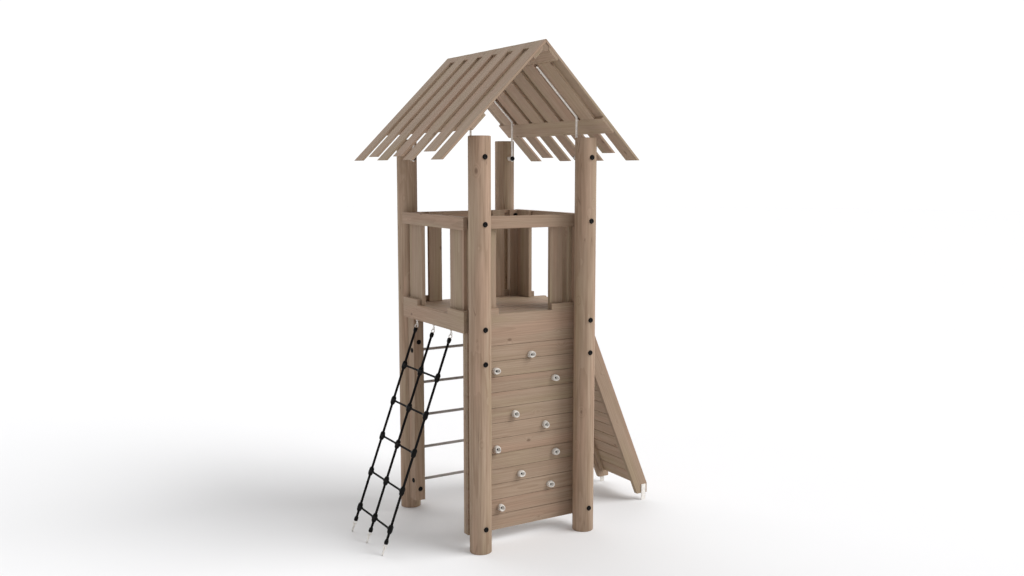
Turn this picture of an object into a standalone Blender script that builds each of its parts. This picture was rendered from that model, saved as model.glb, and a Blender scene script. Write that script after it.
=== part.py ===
"""Climbing tower: four posts, a platform, a climbing wall, a rope net, a ladder, a ramp and a slat roof.

Metres, +Z up. Front (-Y) is the climbing wall, back (+Y) the ladder, left (-X) the net, right (+X) the ramp.
The origin lies on the ground, in the middle of the whole outline.
"""
import math

import bmesh
import bpy
from mathutils import Matrix, Vector

# Fits
CLEARANCE = 0.0003
FUSE = 0.001
EDGE = 0.0025

# Posts
POST_SPACING_X = 0.788
POST_SPACING_Y = 1.035
POST_DIAMETER = 0.140
POST_HEIGHT = 2.615
POST_SIDES = 32

# Bolts through the posts, with round caps
ROOF_BOLT_BELOW_POST_TOP = 0.127
DECK_BOLT_BELOW_DECK = 0.062
UPPER_BOLT_BELOW_WALL_TOP = 0.076
LOWER_BOLT_OVER_WALL_BOTTOM = 0.085
CAP_DIAMETER = 0.033
CAP_HEIGHT = 0.007
CAP_SIDES = 12
CAP_ROOT = 0.006

# Boards of the front and back
PACKING_THICKNESS = 0.028
PACKING_WIDTH = 0.040
BOARD_THICKNESS = 0.028
FRONT_BOARD_OVERHANG = 0.038
STILE_WIDTH = 0.088
STILE_THICKNESS = 0.028
BALUSTER_THICKNESS = 0.027
FRONT_BALUSTER_WIDTH = 0.100
FRONT_OPENING = 0.408

# Boards of the sides
SIDE_BOARD_THICKNESS = 0.0305
SIDE_BOARD_POST_GAP = 0.003
SIDE_OPENING = 0.411

# Heights of the deck, rails and fascias
DECK_TOP_Z = 1.495
RAILING_HEIGHT = 0.625
RAIL_HEIGHT = 0.080
FASCIA_OVER_DECK = 0.040
FASCIA_HEIGHT = 0.140
NOTCH_DEPTH = 0.040
FRONT_NOTCH = 0.403
SIDE_NOTCH = 0.441
DECK_BOARD_THICKNESS = 0.028
DECK_BOARDS = 6
DECK_BOARD_GAP = 0.005
LEDGER_THICKNESS = 0.030

# Climbing wall
WALL_BOTTOM_Z = 0.078
WALL_TOP_BELOW_FASCIAS = 0.102
WALL_BOARDS = 12
WALL_BOARD_GAP = 0.0025
WALL_BATTEN_WIDTH = 0.076
WALL_BATTEN_THICKNESS = 0.028

# Climbing holds, as places on the wall
HOLD_WIDTH = 0.054
HOLD_HEIGHT = 0.048
HOLD_DEPTH = 0.034
HOLD_SIDES = 16
HOLD_PLACES = (
    (0.037, 1.217),
    (-0.228, 1.133),
    (0.225, 1.041),
    (-0.085, 0.835),
    (0.149, 0.735),
    (-0.223, 0.618),
    (0.230, 0.538),
    (-0.040, 0.429),
    (0.190, 0.321),
    (-0.193, 0.225),
)

# Ladder
LADDER_STILE_WIDTH = 0.076
LADDER_STILE_DEPTH = 0.090
LADDER_STILE_BOTTOM_Z = 0.080
RUNGS = 5
RUNG_FIRST_Z = 0.225
RUNG_PITCH = 0.2333
RUNG_DIAMETER = 0.022
RUNG_SEAT_DEPTH = 0.025
RUNG_SETBACK = 0.062
RUNG_SIDES = 16

# Ramp
RAMP_ANGLE = math.radians(67.1)
RAMP_JOINT_BELOW_FASCIA_TOP = 0.075
STRINGER_WIDTH = 0.1105
STRINGER_THICKNESS = 0.032
STRINGER_BOTTOM_Z = 0.050
STRINGER_TOE = 0.090
RAMP_BOARD_RECESS = 0.028
RAMP_BOARD_THICKNESS = 0.028
RAMP_BOARD_WIDTH = 0.095
RAMP_BOARD_GAP = 0.005
RAMP_BOARDS_BOTTOM_Z = 0.106
CLEAT_SIZE = 0.027
FOOT_WIDTH = 0.038
FOOT_THICKNESS = 0.006
FOOT_HEIGHT = 0.117
FOOT_FROM_TOE = 0.016

# Roof
RIDGE_OVER_POSTS = 0.586
ROOF_ANGLE = math.radians(45.0)
ROOF_LENGTH = 1.302
SLATS = 7
SLAT_WIDTH = 0.122
SLAT_THICKNESS = 0.016
EAVE_BELOW_POST_TOP = 0.145
SECOND_SLAT_RISE = 0.050
EVEN_SLAT_RISE = 0.024
INNER_BOARD_WIDTH = 0.150
INNER_BOARD_THICKNESS = 0.018
RIDGE_STRIP_WIDTH = 0.060
RIDGE_BOARD_END = 0.147
EAVE_BOARD_START = 0.630
EAVE_BOARD_WIDTH = 0.127
RIDGE_BEAM_WIDTH = 0.040
RIDGE_BEAM_DROP = 0.108
RIDGE_BEAM_INSET = 0.004

# Bent arms that carry the roof
ARM_DIAMETER = 0.016
ARM_STANDOFF = 0.029
ARM_BELOW_BOLT = 0.023
ARM_BEND_RADIUS = 0.070
ARM_TOP_FROM_RIDGE = 0.160
ARM_SIDES = 12
ARM_BEND_STEPS = 6
SPACER_DIAMETER = 0.034

# Rope net
NET_REACH = 0.510
NET_TOP_OUT = 0.010
NET_OFFSET_Y = -0.0165
ROPE_SPACING = 0.248
ROPE_DIAMETER = 0.016
CROSS_ROPE_DIAMETER = 0.013
NET_ROWS = 5
NET_TOP_ROW_BELOW_FASCIA = 0.3004
NET_ROW_PITCH = 0.2485
ROPE_SIDES = 8
CONNECTOR_DIAMETER = 0.031
CONNECTOR_LENGTH = 0.056
SOCKET_DIAMETER = 0.025
SOCKET_LENGTH = 0.030
FERRULE_DIAMETER = 0.028
FERRULE_LENGTH = 0.032
EYE_RADIUS = 0.010
EYE_WIRE = 0.006
LINK_RADIUS = 0.011
LINK_WIRE = 0.006
EYE_DROP = 0.024
EYE_SHANK = 0.008
ANCHOR_ROD = 0.013
ANCHOR_SIDES = 10
ANCHOR_EYE_HEIGHT = 0.045
FERRULE_CHAMFER = 0.003
CONNECTOR_CHAMFER = 0.005
SOIL_DEPTH = 0.100
SOIL_REACH = 0.052

# Heights round the deck
FASCIA_TOP_Z = DECK_TOP_Z + FASCIA_OVER_DECK
FASCIA_BOTTOM_Z = FASCIA_TOP_Z - FASCIA_HEIGHT
NOTCH_Z = FASCIA_TOP_Z - NOTCH_DEPTH
RAIL_TOP_Z = DECK_TOP_Z + RAILING_HEIGHT
WALL_TOP_Z = FASCIA_BOTTOM_Z - WALL_TOP_BELOW_FASCIAS
RAMP_JOINT_Z = FASCIA_TOP_Z - RAMP_JOINT_BELOW_FASCIA_TOP
NET_TOP_ROW_Z = FASCIA_BOTTOM_Z - NET_TOP_ROW_BELOW_FASCIA

# Heights of the bolts
BOLT_ROOF_Z = POST_HEIGHT - ROOF_BOLT_BELOW_POST_TOP
BOLT_RAIL_Z = RAIL_TOP_Z - RAIL_HEIGHT / 2
BOLT_DECK_Z = DECK_TOP_Z - DECK_BOLT_BELOW_DECK
BOLT_UPPER_Z = WALL_TOP_Z - UPPER_BOLT_BELOW_WALL_TOP
BOLT_LOWER_Z = WALL_BOTTOM_Z + LOWER_BOLT_OVER_WALL_BOTTOM

# Heights of the roof
RIDGE_Z = POST_HEIGHT + RIDGE_OVER_POSTS
EAVE_Z = POST_HEIGHT - EAVE_BELOW_POST_TOP
RIDGE_BEAM_BOTTOM_Z = RIDGE_Z - RIDGE_BEAM_DROP
ARM_BOTTOM_Z = BOLT_ROOF_Z - ARM_BELOW_BOLT

# Lines that several pieces share
HALF_X = POST_SPACING_X / 2
HALF_Y = POST_SPACING_Y / 2
POST_RADIUS = POST_DIAMETER / 2
FRONT_FACE = POST_RADIUS + PACKING_THICKNESS
FRONT_BACK = FRONT_FACE + BOARD_THICKNESS
STILE_FACE = FRONT_BACK + CLEARANCE
STILE_BACK = STILE_FACE + STILE_THICKNESS
SIDE_INNER_X = HALF_X + STILE_WIDTH / 2 + CLEARANCE
SIDE_OUTER_X = SIDE_INNER_X + SIDE_BOARD_THICKNESS
SIDE_MIDDLE_X = (SIDE_INNER_X + SIDE_OUTER_X) / 2

LOOKS = {
    "wood": ((0.36, 0.26, 0.18, 1.0), 0.7, 0.0),
    "steel": ((0.62, 0.63, 0.64, 1.0), 0.35, 1.0),
    "dark_steel": ((0.10, 0.09, 0.09, 1.0), 0.4, 1.0),
    "rope": ((0.02, 0.02, 0.02, 1.0), 0.8, 0.0),
    "hold": ((0.70, 0.68, 0.64, 1.0), 0.6, 0.0),
}


def material(key, name):
    """A Principled material for one piece."""
    colour, roughness, metallic = LOOKS[key]
    made = bpy.data.materials.new(name)
    made.use_nodes = True
    shader = made.node_tree.nodes["Principled BSDF"]
    shader.inputs["Base Color"].default_value = colour
    shader.inputs["Roughness"].default_value = roughness
    shader.inputs["Metallic"].default_value = metallic
    return made


def chamfered(bm, width):
    """The shape with a small chamfer on every sharp edge."""
    if width > 0:
        sharp = [e for e in bm.edges if e.calc_face_angle(0.0) > math.radians(30)]
        bmesh.ops.bevel(bm, geom=sharp, offset=width, segments=1, affect="EDGES", clamp_overlap=True)
    return bm


def prism(outline, start, end, axis="Y", chamfer=EDGE):
    """An outline in the plane across the axis, extruded from start to end along it."""
    place = {
        "X": lambda a, b, t: (t, a, b),
        "Y": lambda a, b, t: (a, t, b),
        "Z": lambda a, b, t: (a, b, t),
    }[axis]
    bm = bmesh.new()
    low = [bm.verts.new(place(a, b, start)) for a, b in outline]
    high = [bm.verts.new(place(a, b, end)) for a, b in outline]
    bm.faces.new(low)
    bm.faces.new(high)
    count = len(outline)
    for i in range(count):
        j = (i + 1) % count
        bm.faces.new((low[i], low[j], high[j], high[i]))
    bmesh.ops.recalc_face_normals(bm, faces=bm.faces)
    return chamfered(bm, chamfer)


def block(xs, ys, zs, chamfer=EDGE):
    """A box between two values along each axis, in either order."""
    x0, x1 = sorted(xs)
    y0, y1 = sorted(ys)
    return prism([(x0, y0), (x1, y0), (x1, y1), (x0, y1)], *sorted(zs), axis="Z", chamfer=chamfer)


def rod(start, end, diameter, sides, chamfer=0.0):
    """A round rod between two points."""
    start = Vector(start)
    end = Vector(end)
    bm = bmesh.new()
    length = (end - start).length
    bmesh.ops.create_cone(
        bm, cap_ends=True, segments=sides, radius1=diameter / 2, radius2=diameter / 2, depth=length
    )
    if chamfer > 0:
        rims = [e for e in bm.edges if e.calc_face_angle(0.0) > math.radians(60)]
        bmesh.ops.bevel(bm, geom=rims, offset=chamfer, segments=1, affect="EDGES", clamp_overlap=True)
    turn = (end - start).to_track_quat("Z", "Y").to_matrix().to_4x4()
    bmesh.ops.transform(bm, matrix=Matrix.Translation((start + end) / 2) @ turn, verts=bm.verts)
    return bm


def ring(centre, first, second, radius, wire, steps=12, sides=6):
    """A closed ring of round wire in the plane of two directions."""
    first = Vector(first).normalized()
    second = Vector(second).normalized()
    across = first.cross(second).normalized()
    bm = bmesh.new()
    rows = []
    for i in range(steps):
        turn = 2 * math.pi * i / steps
        out = first * math.cos(turn) + second * math.sin(turn)
        row = []
        for j in range(sides):
            roll = 2 * math.pi * j / sides
            offset = out * (radius + wire / 2 * math.cos(roll)) + across * (wire / 2 * math.sin(roll))
            row.append(bm.verts.new(Vector(centre) + offset))
        rows.append(row)
    for i in range(steps):
        for j in range(sides):
            a, b = rows[i], rows[(i + 1) % steps]
            bm.faces.new((a[j], b[j], b[(j + 1) % sides], a[(j + 1) % sides]))
    bmesh.ops.recalc_face_normals(bm, faces=bm.faces)
    return bm


def swept(path, y, diameter, sides):
    """A round tube along points in an X-Z plane, with flat ends."""
    bm = bmesh.new()
    rows = []
    for i, (x, z) in enumerate(path):
        before = path[max(i - 1, 0)]
        after = path[min(i + 1, len(path) - 1)]
        along = Vector((after[0] - before[0], 0, after[1] - before[1])).normalized()
        side = Vector((0, 1, 0)).cross(along)
        row = []
        for j in range(sides):
            roll = 2 * math.pi * (j + 0.5) / sides
            offset = (side * math.cos(roll) + Vector((0, 1, 0)) * math.sin(roll)) * diameter / 2
            row.append(bm.verts.new(Vector((x, y, z)) + offset))
        rows.append(row)
    for a, b in zip(rows, rows[1:]):
        for j in range(sides):
            bm.faces.new((a[j], a[(j + 1) % sides], b[(j + 1) % sides], b[j]))
    bm.faces.new(rows[0])
    bm.faces.new(rows[-1])
    bmesh.ops.recalc_face_normals(bm, faces=bm.faces)
    return bm


def loose_object(shapes):
    """One object from several bmesh shapes, used as a Boolean operand."""
    whole = bmesh.new()
    for shape in shapes:
        piece = bpy.data.meshes.new("piece")
        shape.to_mesh(piece)
        shape.free()
        whole.from_mesh(piece)
        bpy.data.meshes.remove(piece)
    mesh = bpy.data.meshes.new("operand")
    whole.to_mesh(mesh)
    whole.free()
    made = bpy.data.objects.new("operand", mesh)
    bpy.context.scene.collection.objects.link(made)
    return made


def combined(body, tools, operation):
    """The Boolean result of a shape and a list of shapes."""
    base = loose_object([body])
    other = loose_object(tools)
    step = base.modifiers.new("Boolean", "BOOLEAN")
    step.operation = operation
    step.solver = "EXACT"
    step.use_self = operation == "UNION"
    step.object = other
    bpy.context.view_layer.update()
    evaluated = base.evaluated_get(bpy.context.evaluated_depsgraph_get())
    result = bmesh.new()
    result.from_mesh(evaluated.to_mesh())
    evaluated.to_mesh_clear()
    for used in (base, other):
        mesh = used.data
        bpy.data.objects.remove(used)
        bpy.data.meshes.remove(mesh)
    bmesh.ops.dissolve_limit(
        result, angle_limit=math.radians(0.05), verts=result.verts, edges=result.edges
    )
    return result


def fused(shapes):
    """Overlapping shapes made into one closed body."""
    return combined(shapes[0], shapes[1:], "UNION")


def cut(body, tools):
    """A shape with others taken out of it."""
    return combined(body, tools, "DIFFERENCE")


def add(name, bm, look, smooth=False):
    """The named object of a shape, with its origin at the middle of its box."""
    lows = [min(v.co[i] for v in bm.verts) for i in range(3)]
    highs = [max(v.co[i] for v in bm.verts) for i in range(3)]
    middle = Vector([(a + b) / 2 for a, b in zip(lows, highs)])
    bmesh.ops.translate(bm, vec=-middle, verts=bm.verts)
    mesh = bpy.data.meshes.new(name)
    bm.to_mesh(mesh)
    bm.free()
    if smooth:
        mesh.shade_smooth()
        mesh.set_sharp_from_angle(angle=math.radians(35))
    mesh.materials.append(material(look, name + "_" + look))
    made = bpy.data.objects.new(name, mesh)
    made.location = middle
    bpy.context.scene.collection.objects.link(made)
    made.parent = frame
    return made


def corners():
    """Name, X sign and Y sign of the four corners."""
    for side, sx in (("left", -1), ("right", 1)):
        for face, sy in (("front", -1), ("back", 1)):
            yield side + "_" + face, sx, sy


def inward(sy, distance):
    """The Y of a line this far from a post's axis towards the middle."""
    return sy * (HALF_Y - distance)


def cap(x, y, z, sy, root):
    """A bolt's round cap on a face that looks along sy."""
    return rod((x, y - sy * root, z), (x, y + sy * CAP_HEIGHT, z), CAP_DIAMETER, CAP_SIDES)


def make_posts():
    """Four round posts with the bolt caps on their outer sides."""
    for corner, sx, sy in corners():
        x = sx * HALF_X
        y = sy * HALF_Y
        body = rod((x, y, 0), (x, y, POST_HEIGHT), POST_DIAMETER, POST_SIDES, EDGE * 2)
        heights = (BOLT_ROOF_Z, BOLT_RAIL_Z, BOLT_DECK_Z, BOLT_UPPER_Z, BOLT_LOWER_Z)
        caps = [cap(x, y + sy * POST_RADIUS, z, sy, CAP_ROOT) for z in heights]
        add("post_" + corner, fused([body] + caps), "wood", True)


def make_upper_stiles():
    """Upright boards on the inner side of each post, from the platform to the top rails."""
    for corner, sx, sy in corners():
        x = sx * HALF_X
        half = STILE_WIDTH / 2
        web = PACKING_WIDTH / 2
        near = inward(sy, POST_RADIUS + CLEARANCE)
        web_bottom = WALL_TOP_Z + CLEARANCE if sy < 0 else FASCIA_BOTTOM_Z
        board = block(
            (x - half, x + half),
            (inward(sy, STILE_FACE), inward(sy, STILE_BACK)),
            (FASCIA_BOTTOM_Z, RAIL_TOP_Z),
        )
        low = block(
            (x - web, x + web),
            (near, inward(sy, FRONT_FACE - CLEARANCE)),
            (web_bottom, FASCIA_TOP_Z + CLEARANCE + FUSE),
            0,
        )
        high = block(
            (x - web, x + web),
            (near, inward(sy, STILE_FACE + FUSE)),
            (FASCIA_TOP_Z + CLEARANCE, RAIL_TOP_Z - EDGE),
            0,
        )
        head = cap(x, inward(sy, STILE_BACK), BOLT_RAIL_Z, -sy, CAP_ROOT)
        add("upper_stile_" + corner, fused([board, low, high, head]), "wood")


def notched(half, bottom, top, notch_half, notch_z):
    """The outline of a board with a level notch in its top edge."""
    return [
        (-half, bottom),
        (half, bottom),
        (half, top),
        (notch_half, top),
        (notch_half, notch_z),
        (-notch_half, notch_z),
        (-notch_half, top),
        (-half, top),
    ]


def make_fascias():
    """Notched boards round the platform; the front one reaches down to the climbing wall."""
    half = HALF_X + FRONT_BOARD_OVERHANG
    for face, sy, bottom in (("front", -1, WALL_TOP_Z + CLEARANCE), ("back", 1, FASCIA_BOTTOM_Z)):
        ys = sorted((inward(sy, FRONT_FACE), inward(sy, FRONT_BACK)))
        outline = notched(half, bottom, FASCIA_TOP_Z, FRONT_NOTCH / 2, NOTCH_Z)
        add("fascia_" + face, prism(outline, *ys), "wood")
    half = HALF_Y - POST_RADIUS - SIDE_BOARD_POST_GAP
    for side, sx in (("left", -1), ("right", 1)):
        xs = sorted((sx * SIDE_INNER_X, sx * SIDE_OUTER_X))
        outline = notched(half, FASCIA_BOTTOM_Z, FASCIA_TOP_Z, SIDE_NOTCH / 2, NOTCH_Z)
        add("fascia_" + side, prism(outline, *xs, axis="X"), "wood")


def make_top_rails():
    """The rails at the top of the railing, on all four sides."""
    zs = (RAIL_TOP_Z - RAIL_HEIGHT, RAIL_TOP_Z)
    half = HALF_X - PACKING_WIDTH / 2 - CLEARANCE
    for face, sy in (("front", -1), ("back", 1)):
        ys = (inward(sy, FRONT_FACE), inward(sy, FRONT_BACK))
        add("top_rail_" + face, block((-half, half), ys, zs), "wood")
    half = HALF_Y - POST_RADIUS - SIDE_BOARD_POST_GAP
    for side, sx in (("left", -1), ("right", 1)):
        xs = (sx * SIDE_INNER_X, sx * SIDE_OUTER_X)
        add("top_rail_" + side, block(xs, (-half, half), zs), "wood")


def make_balusters():
    """Wide upright boards beside the four openings, standing on the deck."""
    zs = (DECK_TOP_Z + CLEARANCE, RAIL_TOP_Z)
    inner = FRONT_OPENING / 2
    for corner, sx, sy in corners():
        xs = (sx * inner, sx * (inner + FRONT_BALUSTER_WIDTH))
        near = FRONT_BACK + CLEARANCE
        ys = (inward(sy, near), inward(sy, near + BALUSTER_THICKNESS))
        side, face = corner.split("_")
        add("baluster_" + face + "_" + side, block(xs, ys, zs), "wood")
    inner = SIDE_OPENING / 2
    for corner, sx, sy in corners():
        outer_x = SIDE_INNER_X - CLEARANCE
        xs = (sx * outer_x, sx * (outer_x - BALUSTER_THICKNESS))
        ys = (sy * inner, inward(sy, STILE_BACK + CLEARANCE))
        add("baluster_" + corner, block(xs, ys, zs), "wood")


def make_deck():
    """Deck boards across the tower on two ledgers, cut out round the stiles."""
    half_x = SIDE_INNER_X - CLEARANCE
    half_y = HALF_Y - FRONT_BACK - CLEARANCE
    stile_x = HALF_X - STILE_WIDTH / 2 - CLEARANCE
    stile_y = HALF_Y - STILE_BACK - CLEARANCE
    pitch = (2 * half_y + DECK_BOARD_GAP) / DECK_BOARDS
    zs = (DECK_TOP_Z - DECK_BOARD_THICKNESS, DECK_TOP_Z)
    shapes = []
    for sx in (-1, 1):
        xs = (sx * half_x, sx * (half_x - LEDGER_THICKNESS))
        shapes.append(block(xs, (-stile_y, stile_y), (FASCIA_BOTTOM_Z, zs[0] + FUSE), 0))
    for i in range(DECK_BOARDS):
        y0 = -half_y + i * pitch
        y1 = y0 + pitch - DECK_BOARD_GAP
        outline = [(half_x, y0), (half_x, y1), (-half_x, y1), (-half_x, y0)]
        if i == 0:
            outline = [
                (stile_x, y0),
                (stile_x, -stile_y),
                (half_x, -stile_y),
                (half_x, y1),
                (-half_x, y1),
                (-half_x, -stile_y),
                (-stile_x, -stile_y),
                (-stile_x, y0),
            ]
        if i == DECK_BOARDS - 1:
            outline = [
                (half_x, y0),
                (half_x, stile_y),
                (stile_x, stile_y),
                (stile_x, y1),
                (-stile_x, y1),
                (-stile_x, stile_y),
                (-half_x, stile_y),
                (-half_x, y0),
            ]
        shapes.append(prism(outline, *zs, axis="Z", chamfer=0))
    add("deck", fused(shapes), "wood")


def make_wall():
    """The climbing wall: boards on two battens, with packing between them and the posts."""
    half = HALF_X + FRONT_BOARD_OVERHANG
    pitch = (WALL_TOP_Z - WALL_BOTTOM_Z) / WALL_BOARDS
    batten_face = inward(-1, FRONT_BACK + CLEARANCE)
    batten_back = inward(-1, FRONT_BACK + CLEARANCE + WALL_BATTEN_THICKNESS)
    shapes = []
    for sx in (-1, 1):
        x = sx * HALF_X
        xs = (x - WALL_BATTEN_WIDTH / 2, x + WALL_BATTEN_WIDTH / 2)
        zs = (WALL_BOTTOM_Z, FASCIA_BOTTOM_Z - CLEARANCE)
        shapes.append(block(xs, (batten_face, batten_back), zs, 0))
        xs = (x - PACKING_WIDTH / 2, x + PACKING_WIDTH / 2)
        ys = (inward(-1, POST_RADIUS + CLEARANCE), inward(-1, FRONT_FACE + FUSE))
        shapes.append(block(xs, ys, (WALL_BOTTOM_Z, WALL_TOP_Z - EDGE), 0))
        for z in (BOLT_UPPER_Z, BOLT_LOWER_Z):
            shapes.append(cap(x, batten_back, z, 1, CAP_ROOT))
    for i in range(WALL_BOARDS):
        z0 = WALL_BOTTOM_Z + i * pitch + WALL_BOARD_GAP / 2
        zs = (z0, z0 + pitch - WALL_BOARD_GAP)
        shapes.append(block((-half, half), (inward(-1, FRONT_FACE), batten_face + FUSE), zs, 0))
    add("climbing_wall", fused(shapes), "wood")


def make_holds():
    """Domed climbing holds on the wall's face."""
    steps = ((1.0, 0.0), (0.97, 0.35), (0.80, 0.75), (0.50, 0.96), (0.20, 1.0))
    face = inward(-1, FRONT_FACE) - CLEARANCE
    for number, (x, z) in enumerate(HOLD_PLACES, 1):
        bm = bmesh.new()
        rows = []
        for across, out in steps:
            row = []
            for j in range(HOLD_SIDES):
                turn = 2 * math.pi * j / HOLD_SIDES
                swell = 1 + 0.06 * math.sin(2 * turn + number)
                dx = HOLD_WIDTH / 2 * across * swell * math.cos(turn)
                dz = HOLD_HEIGHT / 2 * across * swell * math.sin(turn)
                row.append(bm.verts.new((x + dx, face - HOLD_DEPTH * out, z + dz)))
            rows.append(row)
        for a, b in zip(rows, rows[1:]):
            for j in range(HOLD_SIDES):
                bm.faces.new((a[j], a[(j + 1) % HOLD_SIDES], b[(j + 1) % HOLD_SIDES], b[j]))
        bm.faces.new(rows[0])
        bm.faces.new(rows[-1])
        bmesh.ops.recalc_face_normals(bm, faces=bm.faces)
        add("hold_%02d" % number, bm, "hold", True)


def make_ladder():
    """Two stiles on the back posts' inner sides, with round rungs seated in them."""
    near = POST_RADIUS + CLEARANCE
    far = near + LADDER_STILE_DEPTH
    rung_y = inward(1, near + RUNG_SETBACK)
    heights = [RUNG_FIRST_Z + i * RUNG_PITCH for i in range(RUNGS)]
    inner_x = HALF_X - LADDER_STILE_WIDTH / 2
    for side, sx in (("left", -1), ("right", 1)):
        x = sx * HALF_X
        xs = (x - LADDER_STILE_WIDTH / 2, x + LADDER_STILE_WIDTH / 2)
        zs = (LADDER_STILE_BOTTOM_Z, FASCIA_BOTTOM_Z - CLEARANCE)
        body = block(xs, (inward(1, near), inward(1, far)), zs)
        caps = [cap(x, inward(1, far), z, -1, CAP_ROOT) for z in (BOLT_UPPER_Z, BOLT_LOWER_Z)]
        seats = [
            rod(
                (sx * (inner_x + RUNG_SEAT_DEPTH), rung_y, z),
                (sx * (inner_x - FUSE), rung_y, z),
                RUNG_DIAMETER + 2 * CLEARANCE,
                RUNG_SIDES,
            )
            for z in heights
        ]
        add("ladder_stile_" + side, cut(fused([body] + caps), seats), "wood")
    reach = inner_x + RUNG_SEAT_DEPTH - CLEARANCE
    for number, z in enumerate(heights, 1):
        bar = rod((-reach, rung_y, z), (reach, rung_y, z), RUNG_DIAMETER, RUNG_SIDES)
        add("rung_%d" % number, bar, "dark_steel", True)


def stringer_lower_x(z):
    """The X of the stringers' lower edge at a height."""
    return SIDE_OUTER_X + CLEARANCE + (RAMP_JOINT_Z - z) / math.tan(RAMP_ANGLE)


def stringer_upper_x(z):
    """The X of the stringers' upper edge at a height."""
    return stringer_lower_x(z) + STRINGER_WIDTH / math.sin(RAMP_ANGLE)


def toe_x():
    """The X of the ramp's furthest point."""
    return stringer_lower_x(STRINGER_BOTTOM_Z) + STRINGER_TOE


def make_ramp():
    """Two slanted stringers, cross boards between them on cleats, and two steel feet."""
    face_x = SIDE_OUTER_X + CLEARANCE
    inner_y = SIDE_NOTCH / 2
    outer_y = inner_y + STRINGER_THICKNESS
    toe = toe_x()
    toe_z = RAMP_JOINT_Z - (toe - STRINGER_WIDTH / math.sin(RAMP_ANGLE) - face_x) * math.tan(RAMP_ANGLE)
    outline = [
        (face_x, RAMP_JOINT_Z),
        (face_x, NOTCH_Z),
        (stringer_upper_x(NOTCH_Z), NOTCH_Z),
        (toe, toe_z),
        (toe, STRINGER_BOTTOM_Z),
        (stringer_lower_x(STRINGER_BOTTOM_Z), STRINGER_BOTTOM_Z),
    ]
    foot_end = toe - FOOT_FROM_TOE
    for face, sy in (("front", -1), ("back", 1)):
        ys = sorted((sy * inner_y, sy * outer_y))
        add("ramp_stringer_" + face, prism(outline, *ys), "wood")
        ys = (sy * (outer_y + CLEARANCE), sy * (outer_y + CLEARANCE + FOOT_THICKNESS))
        foot = block((foot_end - FOOT_WIDTH, foot_end), ys, (0, FOOT_HEIGHT), EDGE / 2)
        add("ramp_foot_" + face, foot, "steel")

    # Cross boards, square to the slope, from the foot up to the landing board
    up = Vector((-math.cos(RAMP_ANGLE), math.sin(RAMP_ANGLE)))
    deep = Vector((-math.sin(RAMP_ANGLE), -math.cos(RAMP_ANGLE)))
    top_depth = RAMP_BOARD_RECESS
    low_depth = RAMP_BOARD_RECESS + RAMP_BOARD_THICKNESS
    base = Vector((stringer_upper_x(0), 0))
    first = (RAMP_BOARDS_BOTTOM_Z - deep.y * low_depth) / up.y
    landing_z = NOTCH_Z - RAMP_BOARD_THICKNESS
    last = (landing_z - deep.y * top_depth) / up.y
    half_y = inner_y - CLEARANCE

    def slab(a0, a1, d0, d1, y0, y1):
        spots = [base + up * a + deep * d for a, d in ((a0, d0), (a1, d0), (a1, d1), (a0, d1))]
        return prism([tuple(p) for p in spots], y0, y1, chamfer=0)

    count = int((last - first) / (RAMP_BOARD_WIDTH + RAMP_BOARD_GAP))
    stretch = (last - first) / count
    shapes = []
    for sy in (-1, 1):
        ys = sorted((sy * half_y, sy * (half_y - CLEAT_SIZE)))
        shapes.append(slab(first, last, low_depth - FUSE, low_depth + CLEAT_SIZE, *ys))
    for i in range(count):
        start = first + i * stretch
        end = start + stretch - RAMP_BOARD_GAP if i < count - 1 else last + 4 * FUSE
        shapes.append(slab(start, end, top_depth, low_depth, -half_y, half_y))
    landing_end = stringer_upper_x(NOTCH_Z) - top_depth / math.sin(RAMP_ANGLE)
    shapes.append(block((face_x, landing_end), (-half_y, half_y), (landing_z - 2 * FUSE, NOTCH_Z), 0))
    add("ramp_boards", fused(shapes), "wood")


def roof_point(side, along, depth):
    """A point of a slope, from the ridge along it and in from its outer face."""
    x = along * math.cos(ROOF_ANGLE) - depth * math.sin(ROOF_ANGLE)
    z = RIDGE_Z - along * math.sin(ROOF_ANGLE) - depth * math.cos(ROOF_ANGLE)
    return side * x, z


def slat_gap():
    """The gap between neighbouring slats."""
    return (ROOF_LENGTH - SLATS * SLAT_WIDTH) / (SLATS - 1)


def inner_board_spans():
    """The Y ranges of the inner boards, each behind a gap of the slats."""
    pitch = SLAT_WIDTH + slat_gap()
    for i in range(SLATS - 1):
        middle = -ROOF_LENGTH / 2 + SLAT_WIDTH + slat_gap() / 2 + i * pitch
        yield middle - INNER_BOARD_WIDTH / 2, middle + INNER_BOARD_WIDTH / 2


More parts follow.
